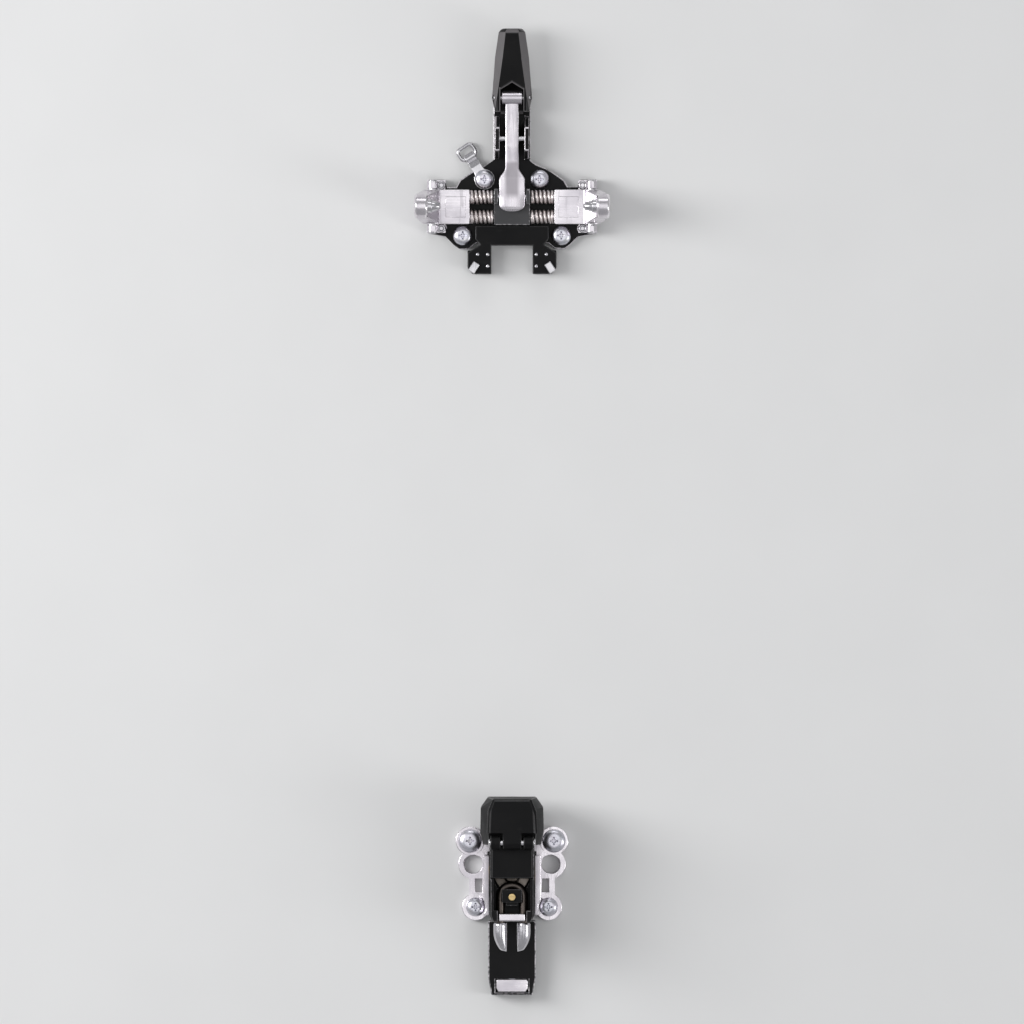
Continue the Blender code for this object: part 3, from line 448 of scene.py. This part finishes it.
def coil_mesh(start, end, out_r, wire_r, turns):
    """A compression spring whose end turns close up and are ground flat."""
    start, end = Vector(start), Vector(end)
    run = end - start
    turn = run.to_track_quat("Z", "X").to_matrix()
    steps = 28                  # in each turn
    closed_turns = 0.85         # at each end
    count = round(turns * steps)
    mean_r = out_r - wire_r
    open_length = run.length - 2 * wire_r
    path = []
    for i in range(count + 1):
        done = i / steps
        share = (done - closed_turns) / (turns - 2 * closed_turns)
        share = min(1.0, max(0.0, share))
        lean = min(done, closed_turns) - min(turns - done, closed_turns)
        rise = open_length * share + 0.25 * wire_r * lean
        angle = math.tau * done
        place = Vector((mean_r * math.cos(angle), mean_r * math.sin(angle), wire_r * 0.9 + rise))
        path.append(start + turn @ place)
    bm = swept_mesh(path, wire_r, sides=12)
    along = run.normalized()
    for vertex in bm.verts:
        height = (vertex.co - start).dot(along)
        vertex.co += along * (min(max(height, 0.0), run.length) - height)
    return bm


def cut_away(bm, *cutters, added=()):
    """Adds closed meshes to another and then cuts others away, all in millimetres."""
    target = loose_object("target", bm)
    steps = [("UNION", mesh) for mesh in added] + [("DIFFERENCE", mesh) for mesh in cutters]
    used = []
    for operation, mesh in steps:
        modifier = target.modifiers.new("step", "BOOLEAN")
        modifier.operation = operation
        modifier.solver = "EXACT"
        modifier.object = loose_object("tool", mesh)
        used.append(modifier.object)
    result = taken(target)
    for tool in used:
        bpy.data.objects.remove(tool)
    return result


def taken(target):
    """An object's mesh with its modifiers worked in. The object itself goes."""
    bpy.context.view_layer.update()
    shown = target.evaluated_get(bpy.context.evaluated_depsgraph_get())
    mesh = bpy.data.meshes.new_from_object(shown)
    bpy.data.objects.remove(target)
    result = bmesh.new()
    result.from_mesh(mesh)
    result.normal_update()
    bpy.data.meshes.remove(mesh)
    return result


def loose_object(name, bm):
    """A passing object for the modifiers to work on."""
    mesh = bpy.data.meshes.new(name)
    bm.to_mesh(mesh)
    bm.free()
    made = bpy.data.objects.new(name, mesh)
    bpy.context.scene.collection.objects.link(made)
    return made


def block_mesh(low, high, taper=1.0):
    """A block from low to high, whose lower face is taper times its upper one."""
    low, high = Vector(low), Vector(high)
    centre = (low + high) / 2
    bm = bmesh.new()
    rows = []
    for z, scale in ((low.z, taper), (high.z, 1.0)):
        half_x, half_y = (high.x - low.x) / 2 * scale, (high.y - low.y) / 2 * scale
        corners = ((-half_x, -half_y), (half_x, -half_y), (half_x, half_y), (-half_x, half_y))
        rows.append([bm.verts.new((centre.x + x, centre.y + y, z)) for x, y in corners])
    closed_rows(bm, rows)
    bmesh.ops.recalc_face_normals(bm, faces=bm.faces)
    return bm


def plane_of(face):
    """A function that gives a point's place in a face's own plane."""
    across = face.normal.orthogonal().normalized()
    up = face.normal.cross(across)
    return lambda point: Vector((point.dot(across), point.dot(up)))


def room_beside(edge, face):
    """How far a face reaches in from one of its edges, at the narrowest of three places."""
    place = plane_of(face)
    corners = [place(vertex.co) for vertex in face.verts]
    loop = next(loop for loop in face.loops if loop.edge == edge)
    start, end = loop.vert.co, loop.link_loop_next.vert.co
    inward = face.normal.cross(end - start).normalized()
    least = ROOM_MOST
    for share in ROOM_PLACES:
        here = start + (end - start) * share
        first, last = place(here + inward * WELD / 2), place(here + inward * least)
        for one, other in zip(corners, corners[1:] + corners[:1]):
            hit = intersect_line_line_2d(first, last, one, other)
            if hit is not None:
                least = min(least, max(0.01, (hit - first).length))
                last = place(here + inward * least)
    return least


def crossings(bm):
    """The places where a face's outline crosses itself."""
    found = []
    for face in (face for face in bm.faces if len(face.verts) > 4):
        place = plane_of(face)
        corners = [place(vertex.co) for vertex in face.verts]
        sides = list(zip(corners, corners[1:] + corners[:1]))
        count = len(sides)
        for i in range(count):
            for k in range(i + 2, count - (i == 0)):
                if intersect_line_line_2d(*sides[i], *sides[k]):
                    found.append(face.verts[i].co.copy())
                    found.append(face.verts[k].co.copy())
    return found


def strays(bm, solid):
    """The corners of a mesh that lie outside a solid."""
    found = []
    for vertex in bm.verts:
        nearest, normal, _, distance = solid.find_nearest(vertex.co)
        if distance > STRAY and (vertex.co - nearest).dot(normal) > 0:
            found.append(vertex.co.copy())
    return found


def distance_to(edge, place):
    """How far a place is from the nearest point of an edge."""
    start, end = (vertex.co for vertex in edge.verts)
    share = min(1.0, max(0.0, intersect_point_line(place, start, end)[1]))
    return (start.lerp(end, share) - place).length


def rounded(bm, shares, width):
    """A copy with each edge rounded by its own share of the width, in material 1."""
    target = loose_object("target", bm.copy())
    target.data.materials.append(None)
    target.data.materials.append(None)
    weights = target.data.attributes.new("bevel_weight_edge", "FLOAT", "EDGE")
    weights.data.foreach_set("value", shares)
    bevel = target.modifiers.new("round", "BEVEL")
    bevel.limit_method = "WEIGHT"
    bevel.width = width
    bevel.segments = ROUND_SEGMENTS
    bevel.material = 1
    bevel.use_clamp_overlap = False
    return taken(target)


def refine(node, body, materials, width, cutter=None):
    """The CAD node, cut where it has a cutter, and its outer edges rounded to width.

    The materials are for flats, edges and slopes; a slope material is a lighter colour, a painted sheen on
    sloping faces.
    """
    bm = bmesh.new()
    bm.from_mesh(frame["nodes"][node].data)
    bmesh.ops.scale(bm, vec=(1 / MM, 1 / MM, 1 / MM), verts=bm.verts)
    bmesh.ops.remove_doubles(bm, verts=bm.verts, dist=WELD)
    if cutter:
        bm = cut_away(bm, cutter)
    bmesh.ops.dissolve_limit(bm, angle_limit=math.radians(FLAT_ANGLE), verts=bm.verts, edges=bm.edges)
    bmesh.ops.dissolve_degenerate(bm, edges=bm.edges, dist=SHORTEST)
    bm.normal_update()
    shares = []
    for edge in bm.edges:
        outer = edge.is_manifold and edge.calc_face_angle_signed(0) > math.radians(OUTER_ANGLE)
        room = min(room_beside(edge, face) for face in edge.link_faces) if outer else 0.0
        shares.append(min(1.0, room / (ROOM_FACTOR * width)))
    solid = BVHTree.FromBMesh(bm)
    for attempt in range(ATTEMPTS):
        result = rounded(bm, shares, width)
        faults = crossings(result) + strays(result, solid)
        if not faults or attempt == ATTEMPTS - 1:
            break
        for i, edge in enumerate(bm.edges):
            if shares[i] and min(distance_to(edge, fault) for fault in faults) < FAULT_REACH * width:
                shares[i] *= 0.5
        result.free()
    bm.free()
    bmesh.ops.dissolve_degenerate(result, edges=result.edges, dist=WELD / 2)
    # sloping faces take the third material, which paints a sheen on them
    for face in result.faces:
        if len(materials) == 3 and SLOPE[0] < face.normal.z < SLOPE[1]:
            face.material_index = 2
    return finished(node + "_finish", result, body, [node], materials)


# ---------------------------------------------------------------- fasteners and springs


def ski_screw(node):
    """A ski screw: a domed flange head with a cross recess, and a coarse thread into the ski."""
    low, high = span(node)
    x, y = middle(node)[:2]
    head_r, shank_r = (high.x - low.x) / 2, 2.6
    top, seat = high.z, high.z - 2.8
    dome = []
    for i in range(9):
        angle = math.radians(90 * i / 8)
        dome.append((seat + 0.95 + 1.85 * math.sin(angle), head_r * (0.42 + 0.56 * math.cos(angle))))
    point = [(low.z, 0.5), (low.z + 0.5, 1.5), (low.z + 1.6, shank_r)]
    shank = [(seat - 0.4, shank_r), (seat, shank_r)]
    rim = [(seat, head_r - 0.25), (seat + 0.15, head_r - 0.05), (seat + 0.4, head_r), (seat + 0.8, head_r)]
    pitch, depth = 1.8, 0.85
    thread = (low.z + 1.7, min(seat - 0.6, 2.5), pitch, depth)
    body = turned_mesh((x, y, 0), (0, 0, 1), point + shank + rim + dome, thread=thread)
    bottom, above = top - 1.9, top + 0.5
    reach, half, taper = 2.0, 0.42, 0.55
    recess = (
        block_mesh((x - reach, y - half, bottom), (x + reach, y + half, above), taper),
        block_mesh((x - half, y - reach, bottom), (x + half, y + reach, above), taper),
        turned_mesh((x, y, 0), (0, 0, 1), [(bottom - 0.2, 0.35), (above, 1.1)], 20),
    )
    bm = cut_away(body, *recess)
    return finished(node + "_finish", bm, "fixed_to_ski", [node], [zinc_plate])


def hollow_rivet(node):
    """A rivet with a rolled lip round its bore."""
    low, high = span(node)
    x, y = middle(node)[:2]
    lip = high.z - 0.8
    profile = [(low.z, 1.2), (low.z + 0.1, 1.45), (lip - 0.05, 1.45), (lip - 0.05, 1.7)]
    for i in range(9):
        angle = math.radians(-20 + 220 * i / 8)
        profile.append((lip + 0.36 + 0.40 * math.sin(angle), 1.38 + 0.42 * math.cos(angle)))
    profile += [(lip - 0.2, 0.85), (lip - 1.4, 0.75)]
    bm = turned_mesh((x, y, 0), (0, 0, 1), profile, MIDDLE_ROUND)
    return finished(node + "_finish", bm, "fixed_to_ski", [node], [steel_turned["z"]])


def pin_across(node, body, radius, dimple=0.0):
    """A cross pin with rounded ends, and a centre dimple where one shows."""
    low, high = span(node)
    y, z = middle(node)[1:]
    half = (high.x - low.x) / 2
    end = [(half - dimple, radius * 0.30)] if dimple else []
    end += [(half - 0.02, radius * 0.42), (half, radius * 0.55)]
    end += [(half - 0.12, radius * 0.86), (half - 0.35, radius)]
    profile = [(-along, r) for along, r in end] + list(reversed(end))
    bm = turned_mesh((0, y, z), (1, 0, 0), profile, MIDDLE_ROUND)
    return finished(node + "_finish", bm, body, [node], [steel_turned["x"]])


def axle_along(node):
    """A wing's axle: riveted over at both ends, with a drawn centre."""
    low, high = span(node)
    centre = middle(node)
    half = (high.y - low.y) / 2
    radius = (high.z - low.z) / 2
    end = [(half - 0.5, 0.3), (half - 0.15, 0.75), (half, 1.05)]
    end += [(half - 0.05, 1.4), (half - 0.3, 1.8), (half - 0.7, radius)]
    profile = [(-along, r) for along, r in end] + list(reversed(end))
    bm = turned_mesh(centre, (0, 1, 0), profile)
    return finished(node + "_finish", bm, "fixed_to_ski", [node], [steel_turned["y"]])


def spring_between(node, body, axis, out_r, wire_r, turns):
    """A coil spring as long as its CAD node is along one axis: 0, 1 or 2."""
    low, high = span(node)
    start, end = middle(node).copy(), middle(node).copy()
    start[axis], end[axis] = low[axis], high[axis]
    bm = coil_mesh(start, end, out_r, wire_r, turns)
    return finished(node + "_finish", bm, body, [node], [spring_wire], sharp=60)


def build_fasteners():
    for part in ("toe", "heel"):
        for end in ENDS:
            for side, _ in SIDES:
                ski_screw(f"{part}_screw_{end}_{side}")
    for end in ENDS:
        for side, _ in SIDES:
            hollow_rivet(f"hinge_rivet_{end}_{side}")
            spring_between(f"wing_spring_{end}_{side}", "bridge", 0, 3.1, 0.62, 6.6)
    for side, _ in SIDES:
        axle_along(f"wing_axle_{side}")
    pin_across("lever_pivot_pin", "fixed_to_ski", 1.2, 0.25)
    pin_across("link_pin", "bridge", 1.0)
    pin_across("grip_pin", "lever", 1.0, 0.2)
    spring_between("lateral_spring", "turret", 1, 4.0, 0.75, 6.2)


# ---------------------------------------------------------------- toe


def toe_pin(side, sign):
    """A toe pin: a bullet nose, a waist, and a shank pressed into the wing's boss."""
    node = f"toe_pin_{side}"
    low, high = span(node)
    tip = low.x if sign > 0 else high.x
    length = high.x - low.x
    nose = [(0.0, 0.35), (0.08, 0.75), (0.3, 1.12), (0.75, 1.52)]
    nose += [(1.4, 1.86), (2.2, 2.12), (3.2, 2.36), (3.7, 2.42)]
    shank = [(3.9, 2.75), (4.2, 2.98), (length - 0.7, 2.98), (length - 0.25, 2.8)]
    shank += [(length, 2.4), (length, 1.5), (length - 0.5, 1.0)]
    bm = turned_mesh((tip, 0, middle(node).z), (sign, 0, 0), nose + shank)
    return finished(node + "_finish", bm, f"{side}_wing", [node], [steel_turned["x"]])


def swing_room(sign):
    """What is cut off a wing so that it can turn beside its springs.

    That is most of the pegs in the springs, and a thin wedge below the springs' middle.
    """
    inside, low, high, half_y = 15.0, 3.5, 11.5, 8.0
    wedge_foot, wedge_tip, wedge_top = 19.344, 18.4, 8.757
    peg_end = 17.9
    outline = [(inside, low), (wedge_foot, low), (wedge_tip, wedge_top)]
    outline += [(peg_end, wedge_top), (peg_end, high), (inside, high)]
    bm = bmesh.new()
    rows = [[bm.verts.new((sign * x, y, z)) for x, z in outline] for y in (-half_y, half_y)]
    closed_rows(bm, rows)
    bmesh.ops.recalc_face_normals(bm, faces=bm.faces)
    return bm


def leash_ring():
    """A closed ring of wire, a rounded rectangle that lies ahead of its tab."""
    turn = Matrix.Rotation(math.radians(LEASH_TURN), 4, "Z")
    joint = next(j for j in frame["joints"] if j["name"] == "leash_ring_flip")
    loop = Vector(joint["pos_m"]) / MM
    half_x, length, corner = 3.6, 5.2, 1.6
    path = []
    for cx, cy, start in (
        (half_x - corner, corner, -90),
        (half_x - corner, length - corner, 0),
        (corner - half_x, length - corner, 90),
        (corner - half_x, corner, 180),
    ):
        for i in range(9):
            angle = math.radians(start + 90 * i / 8)
            place = Vector((cx + corner * math.cos(angle), cy + corner * math.sin(angle), 0))
            path.append(loop + turn @ place)
    wire_r = 0.8
    bm = swept_mesh(path, wire_r, closed=True)
    return finished(
        "leash_ring_finish", bm, "leash", ["leash_ring"], [steel_flat], sharp=70
    )


def crampon_studs():
    """Small steel studs on the crampon bracket, at the ends of its slots."""
    top = span("crampon_bracket")[1].z
    dome = [(top - 0.6, 0.8), (top + 0.05, 0.8), (top + 0.3, 0.7), (top + 0.45, 0.45), (top + 0.5, 0.15)]
    places = ((15.0, -20.7), (10.6, -20.7), (10.6, -25.8))
    for side, sign in SIDES:
        for number, (x, y) in enumerate(places, 1):
            name = f"crampon_stud_{number}_{side}"
            bm = turned_mesh((sign * x, y, 0), (0, 0, 1), dome, SMALL_ROUND)
            finished(name, bm, "fixed_to_ski", [], [steel_turned["z"]])


def between(value, pairs):
    """Reads a curve given as (place, height) pairs, with straight lines between them."""
    for (low, start), (high, end) in zip(pairs, pairs[1:]):
        if value <= high:
            return start + (end - start) * max(0.0, value - low) / (high - low)
    return pairs[-1][1]


def beam_ring(half, bottom, top, crown):
    """A section of the beam: rounded edges and a top that is higher in the middle."""
    edge = min(0.5, 0.42 * half, 0.3 * (top - crown - bottom))
    right = []
    for angle in (-90, -60, -30, 0):
        a = math.radians(angle)
        right.append((half - edge + edge * math.cos(a), bottom + edge + edge * math.sin(a)))
    for angle in (0, 30, 60, 85):
        a = math.radians(angle)
        right.append((half - edge + edge * math.cos(a), top - crown - edge + edge * math.sin(a)))
    for share in (0.75, 0.5, 0.25):
        right.append(((half - edge) * share, top - crown * share ** 2))
    return right + [(0.0, top)] + [(-x, z) for x, z in reversed(right)]


def lever_beam():
    """The beam with a crowned top: a round paddle, the lug of its link, and a round head."""
    low, high = span("lever_beam")
    neck, wide, tip = 2.95, (high.x - low.x) / 2, low.y
    scoop_start, scoop_end = SCOOP
    upper = [(tip, 14.25), (tip + 0.8, 14.7), (tip + 2.2, 15.0), (scoop_start, 15.0), (12.5, 14.4)]
    upper += [(scoop_end, 15.15), (26.5, 14.6), (33, 15.0), (47.5, 16.1)]
    lower = [(tip, 13.3), (tip + 0.9, 12.9), (15, 12.9), (19.7, 12.7), (26.8, 10.6), (32.6, 10.6)]
    lower += [(47.5, 13.1)]
    stations = [tip + ROUND_END * (i / 14) ** 1.6 for i in range(15)]
    stations += [2.6 + 9.0 * i / 8 for i in range(9)]
    stations += [FLARE + FLARE_LENGTH * i / 12 for i in range(1, 13)]
    stations += [17 + (BEAM_END - 17) * i / 40 for i in range(1, 41)]
    bm = bmesh.new()
    rows = []
    for y in stations:
        end = min(1.0, (tip + ROUND_END - y) / ROUND_END) if y < tip + ROUND_END else 0.0
        share = min(1.0, max(0.0, (y - FLARE) / FLARE_LENGTH))
        half = wide + (neck - wide) * share * share * (3 - 2 * share)
        half *= math.sqrt(1 - 0.93 * end ** 2.4)
        crown = 0.25 + 0.45 * (half - neck) / (wide - neck) if half > neck else 0.25
        if scoop_start < y < scoop_end:
            into = (y - scoop_start) / (scoop_end - scoop_start)
            crown -= (crown + SCOOP_DEPTH) * math.sin(math.pi * into)
        ring = beam_ring(half, between(y, lower), between(y, upper), crown * (1 - 0.6 * end))
        rows.append([bm.verts.new((x, y, z)) for x, z in ring])
    closed_rows(bm, rows)
    bmesh.ops.recalc_face_normals(bm, faces=bm.faces)
    _, pin_y, pin_z = middle("grip_pin")
    head = turned_mesh((0, pin_y, pin_z), (1, 0, 0), [(-4.6, 2.6), (-4.2, 3.0), (4.2, 3.0), (4.6, 2.6)])
    _, pivot_y, pivot_z = middle("lever_pivot_pin")
    _, link_y, link_z = middle("link_pin")
    holes = [
        turned_mesh((0, y, z), (1, 0, 0), [(-half, radius), (half, radius)], SMALL_ROUND)
        for y, z, half, radius in (
            (pin_y, pin_z, 6, 1.2),
            (pivot_y, pivot_z, 6, 1.4),
            (link_y - 0.5, link_z, 3, 1.2),
            (link_y + 0.5, link_z, 3, 1.2),
        )
    ]
    slot = block_mesh((-3, link_y - 0.5, link_z - 1.19), (3, link_y + 0.5, link_z + 1.19))
    lug = block_mesh((-2.0, 1.9, low.z), (2.0, 6.9, 13.6))
    bm = cut_away(bm, *holes, slot, added=(head, lug))
    return finished("lever_beam_finish", bm, "lever", ["lever_beam"], [silver_lever])


def build_toe():
    root = "fixed_to_ski"
    refine("toe_base_plate", root, [black_coat, cut_edge], 0.5)
    refine("crampon_bracket", root, [plastic, plastic_edge], 0.4)
    refine("leash_tab", root, [steel_flat, steel_edge], 0.25)
    refine("spring_bridge", "bridge", [grey_coat, grey_edge], 0.4)
    lever_beam()
    # the grip's sloping faces get a painted sheen
    refine("lever_grip", "grip", [plastic, plastic_edge, plastic_slope_sheen], 0.9)
    for side, sign in SIDES:
        refine(f"hinge_bracket_{side}", root, [silver_y, silver_edge], 0.35)
        refine(f"crampon_insert_{side}", root, [steel_flat, steel_edge], 0.15)
        wing = f"wing_{side}"
        room = swing_room(sign)
        refine(wing, f"{side}_wing", [silver_x, silver_edge], 0.45, cutter=room)
        toe_pin(side, sign)
    leash_ring()
    crampon_studs()


# ---------------------------------------------------------------- heel


def heel_pin(side, sign):
    """A heel pin: round at its root, and drawn in from its outer side to a rounded point."""
    node = f"heel_pin_{side}"
    low, high = span(node)
    z = middle(node).z
    full_r = (high.z - low.z) / 2
    root = high.y
    length = high.y - low.y
    inner = low.x if sign > 0 else high.x
    bm = bmesh.new()
    rows = []
    steps = 22
    taper, taper_length, drawn_in = 0.30, 0.70, 0.62    # shares of the pin's length, and of its radius
    point, point_length = 0.93, 0.07
    for i in range(steps + 1):
        share = i / steps
        radius = full_r * (1 - max(0.0, (share - taper) / taper_length) ** 2.1 * drawn_in)
        if share > point:
            radius *= math.sqrt(max(0.05, 1 - ((share - point) / point_length) ** 2))
        if i == 0:
            radius -= 0.25
        x = inner + sign * (full_r - (full_r - radius) * 0.9)
        row = []
        for k in range(ROUND):
            angle = math.tau * k / ROUND
            place = (x + radius * math.cos(angle), root - length * share, z + radius * math.sin(angle))
            row.append(bm.verts.new(place))
        rows.append(row)
    closed_rows(bm, rows)
    bmesh.ops.recalc_face_normals(bm, faces=bm.faces)
    spring_low, spring_high = span("u_spring")
    wire_r = (spring_high.z - spring_low.z) / 2
    bore_r = wire_r + 0.2
    x = sign * (spring_high.x - wire_r)
    leg = [(0, bore_r), (root + 1.2 - spring_low.y, bore_r)]
    bm = cut_away(bm, turned_mesh((x, root + 1, z), (0, -1, 0), leg, MIDDLE_ROUND))
    return finished(node + "_finish", bm, f"{side}_heel_pin", [node], [steel_turned["y"]])


def u_spring(side, sign):
    """Half of the bent spring between the heel pins."""
    low, high = span("u_spring")
    wire_r = (high.z - low.z) / 2
    half = (high.x - low.x) / 2 - wire_r
    centre_y = high.y - wire_r - half
    z = middle("u_spring").z
    path = []
    for i in range(19):
        angle = math.pi / 2 * (1 - i / 18)
        path.append((sign * half * math.cos(angle), centre_y + half * math.sin(angle), z))
    leg = centre_y - low.y
    path += [(sign * half, centre_y - leg * i / 12, z) for i in range(1, 13)]
    bm = swept_mesh(path, wire_r, 20, square_start=True)
    made = finished(f"u_spring_{side}", bm, None, [], [dark_wire], sharp=60)
    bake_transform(made)
    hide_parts("u_spring")


def adjust_screw():
    """The length screw: a fine thread under the carriage and a slotted head at the tail."""
    low, high = span("adjust_screw")
    z = middle("adjust_screw").z
    head = low.y + 2.2
    profile = [(low.y, 2.3), (low.y + 0.25, 2.85), (low.y + 0.5, 3.0), (head - 0.2, 3.0)]
    profile += [(head, 2.8), (head, 2.15), (head + 3.0, 2.15), (high.y - 0.6, 2.15), (high.y, 1.5)]
    pitch, depth = 0.75, 0.3
    thread = (head + 6.0, high.y - 6.0, pitch, depth)
    bm = turned_mesh((0, 0, z), (0, 1, 0), profile, 20, thread)
    slot = block_mesh((-4, low.y - 1, z - 0.45), (4, low.y + 1.1, z + 0.45))
    bm = cut_away(bm, slot)
    return finished("adjust_screw_finish", bm, "length_screw", ["adjust_screw"], [zinc_plate])


def build_heel():
    root = "fixed_to_ski"
    refine("heel_base_plate", root, [silver_y, silver_edge], 0.4)
    refine("heel_track", root, [black_coat, grey_edge], 0.45)
    refine("thrust_block", root, [silver_x, silver_edge], 0.35)
    refine("slide_carriage", "carriage", [black_coat, black_edge], 0.3)
    refine("turret_post", "carriage", [dark_steel, dark_steel], 0.2)
    refine("post_nut", "carriage", [dark_steel, dark_steel], 0.25)
    refine("turret_washer", "carriage", [brass, brass], 0.2)
    refine("turret_housing", "turret", [black_coat, black_edge], 0.5)
    refine("support_block", "turret", [plastic, plastic_edge], 0.5)
    refine("turret_cover", "turret", [plastic, plastic_edge], 0.15)
    refine("spring_clamp", "turret", [black_coat, black_edge], 0.3)
    refine("clamp_screw", "turret", [brass, brass], 0.12)
    refine("pin_retainer", "turret", [silver_x, silver_edge], 0.15)
    refine("lateral_plunger", "turret", [steel_turned["y"], steel_edge], 0.2)
    refine("release_screw", "release_adjuster", [brass, brass], 0.2)
    refine("riser_flap", "flap", [plastic, plastic_edge], 0.6)
    refine("riser_axle", "turret", [steel_turned["x"], steel_edge], 0.15)
    for side, sign in SIDES:
        heel_pin(side, sign)
        u_spring(side, sign)
    adjust_screw()


# ---------------------------------------------------------------- stage


def build_floor():
    """A pale floor at the height of the ski's top, which the screws go into."""
    bm = bmesh.new()
    bmesh.ops.create_grid(bm, x_segments=1, y_segments=1, size=FLOOR_HALF)
    mesh = bpy.data.meshes.new("floor")
    bm.to_mesh(mesh)
    bm.free()
    graph = Graph("pale_floor")
    cloud = graph.noise(60.0, 3.0)
    graph.set(
        base_color=graph.mix(cloud, (0.70, 0.70, 0.70), (0.74, 0.74, 0.74)),
        roughness=graph.level(cloud, 0.3, 0.7, 0.78, 0.84),
        specular_ior_level=0.1,
    )
    mesh.materials.append(graph.material)
    floor = bpy.data.objects.new("floor", mesh)
    bpy.context.scene.collection.objects.link(floor)
    floor.location.z = -FLOOR_DROP


def softbox(name, place, target, size, watts):
    """A rectangular light that faces its target. The camera doesn't see it."""
    light = bpy.data.lights.new(name, "AREA")
    light.shape = "RECTANGLE"
    light.size, light.size_y = size
    light.energy = watts
    made = bpy.data.objects.new(name, light)
    made.location = place
    made.rotation_euler = (Vector(target) - Vector(place)).to_track_quat("-Z", "Y").to_euler()
    made.visible_camera = False
    bpy.context.scene.collection.objects.link(made)


def build_light():
    """A key light from the left, three weaker ones, and an even pale sky."""
    centre = (cad_low + cad_high) / 2
    centre.z = 0
    softbox("key_left", centre + Vector((-1.15, 0.25, 0.95)), centre, (0.5, 1.2), 15)
    softbox("fill_right", centre + Vector((1.3, -0.35, 0.85)), centre, (0.4, 1.0), 5)
    softbox("overhead", centre + Vector((0.1, 0.1, 2.0)), centre, (1.2, 1.2), 4.0)
    softbox("back", centre + Vector((0.1, 1.5, 0.8)), centre, (1.0, 0.4), 3)
    world = bpy.data.worlds.new("studio")
    world.use_nodes = True
    sky = world.node_tree.nodes["Background"]
    sky.inputs["Color"].default_value = (0.92, 0.93, 0.95, 1)
    sky.inputs["Strength"].default_value = 0.42
    bpy.context.scene.world = world


def build_camera():
    """Straight down, with the ski's tip at the top of the picture, as the binding was photographed."""
    camera = bpy.data.cameras.new("camera")
    camera.lens = LENS
    camera.sensor_width = SENSOR
    centre = (cad_low + cad_high) / 2
    distance = FRAME_SIDE * LENS / SENSOR
    made = bpy.data.objects.new("camera", camera)
    made.location = (0, centre.y, distance)
    bpy.context.scene.collection.objects.link(made)
    bpy.context.scene.camera = made


build_camera()
build_floor()
build_light()
build_fasteners()
build_toe()
build_heel()
bpy.context.scene.view_settings.view_transform = "Standard"
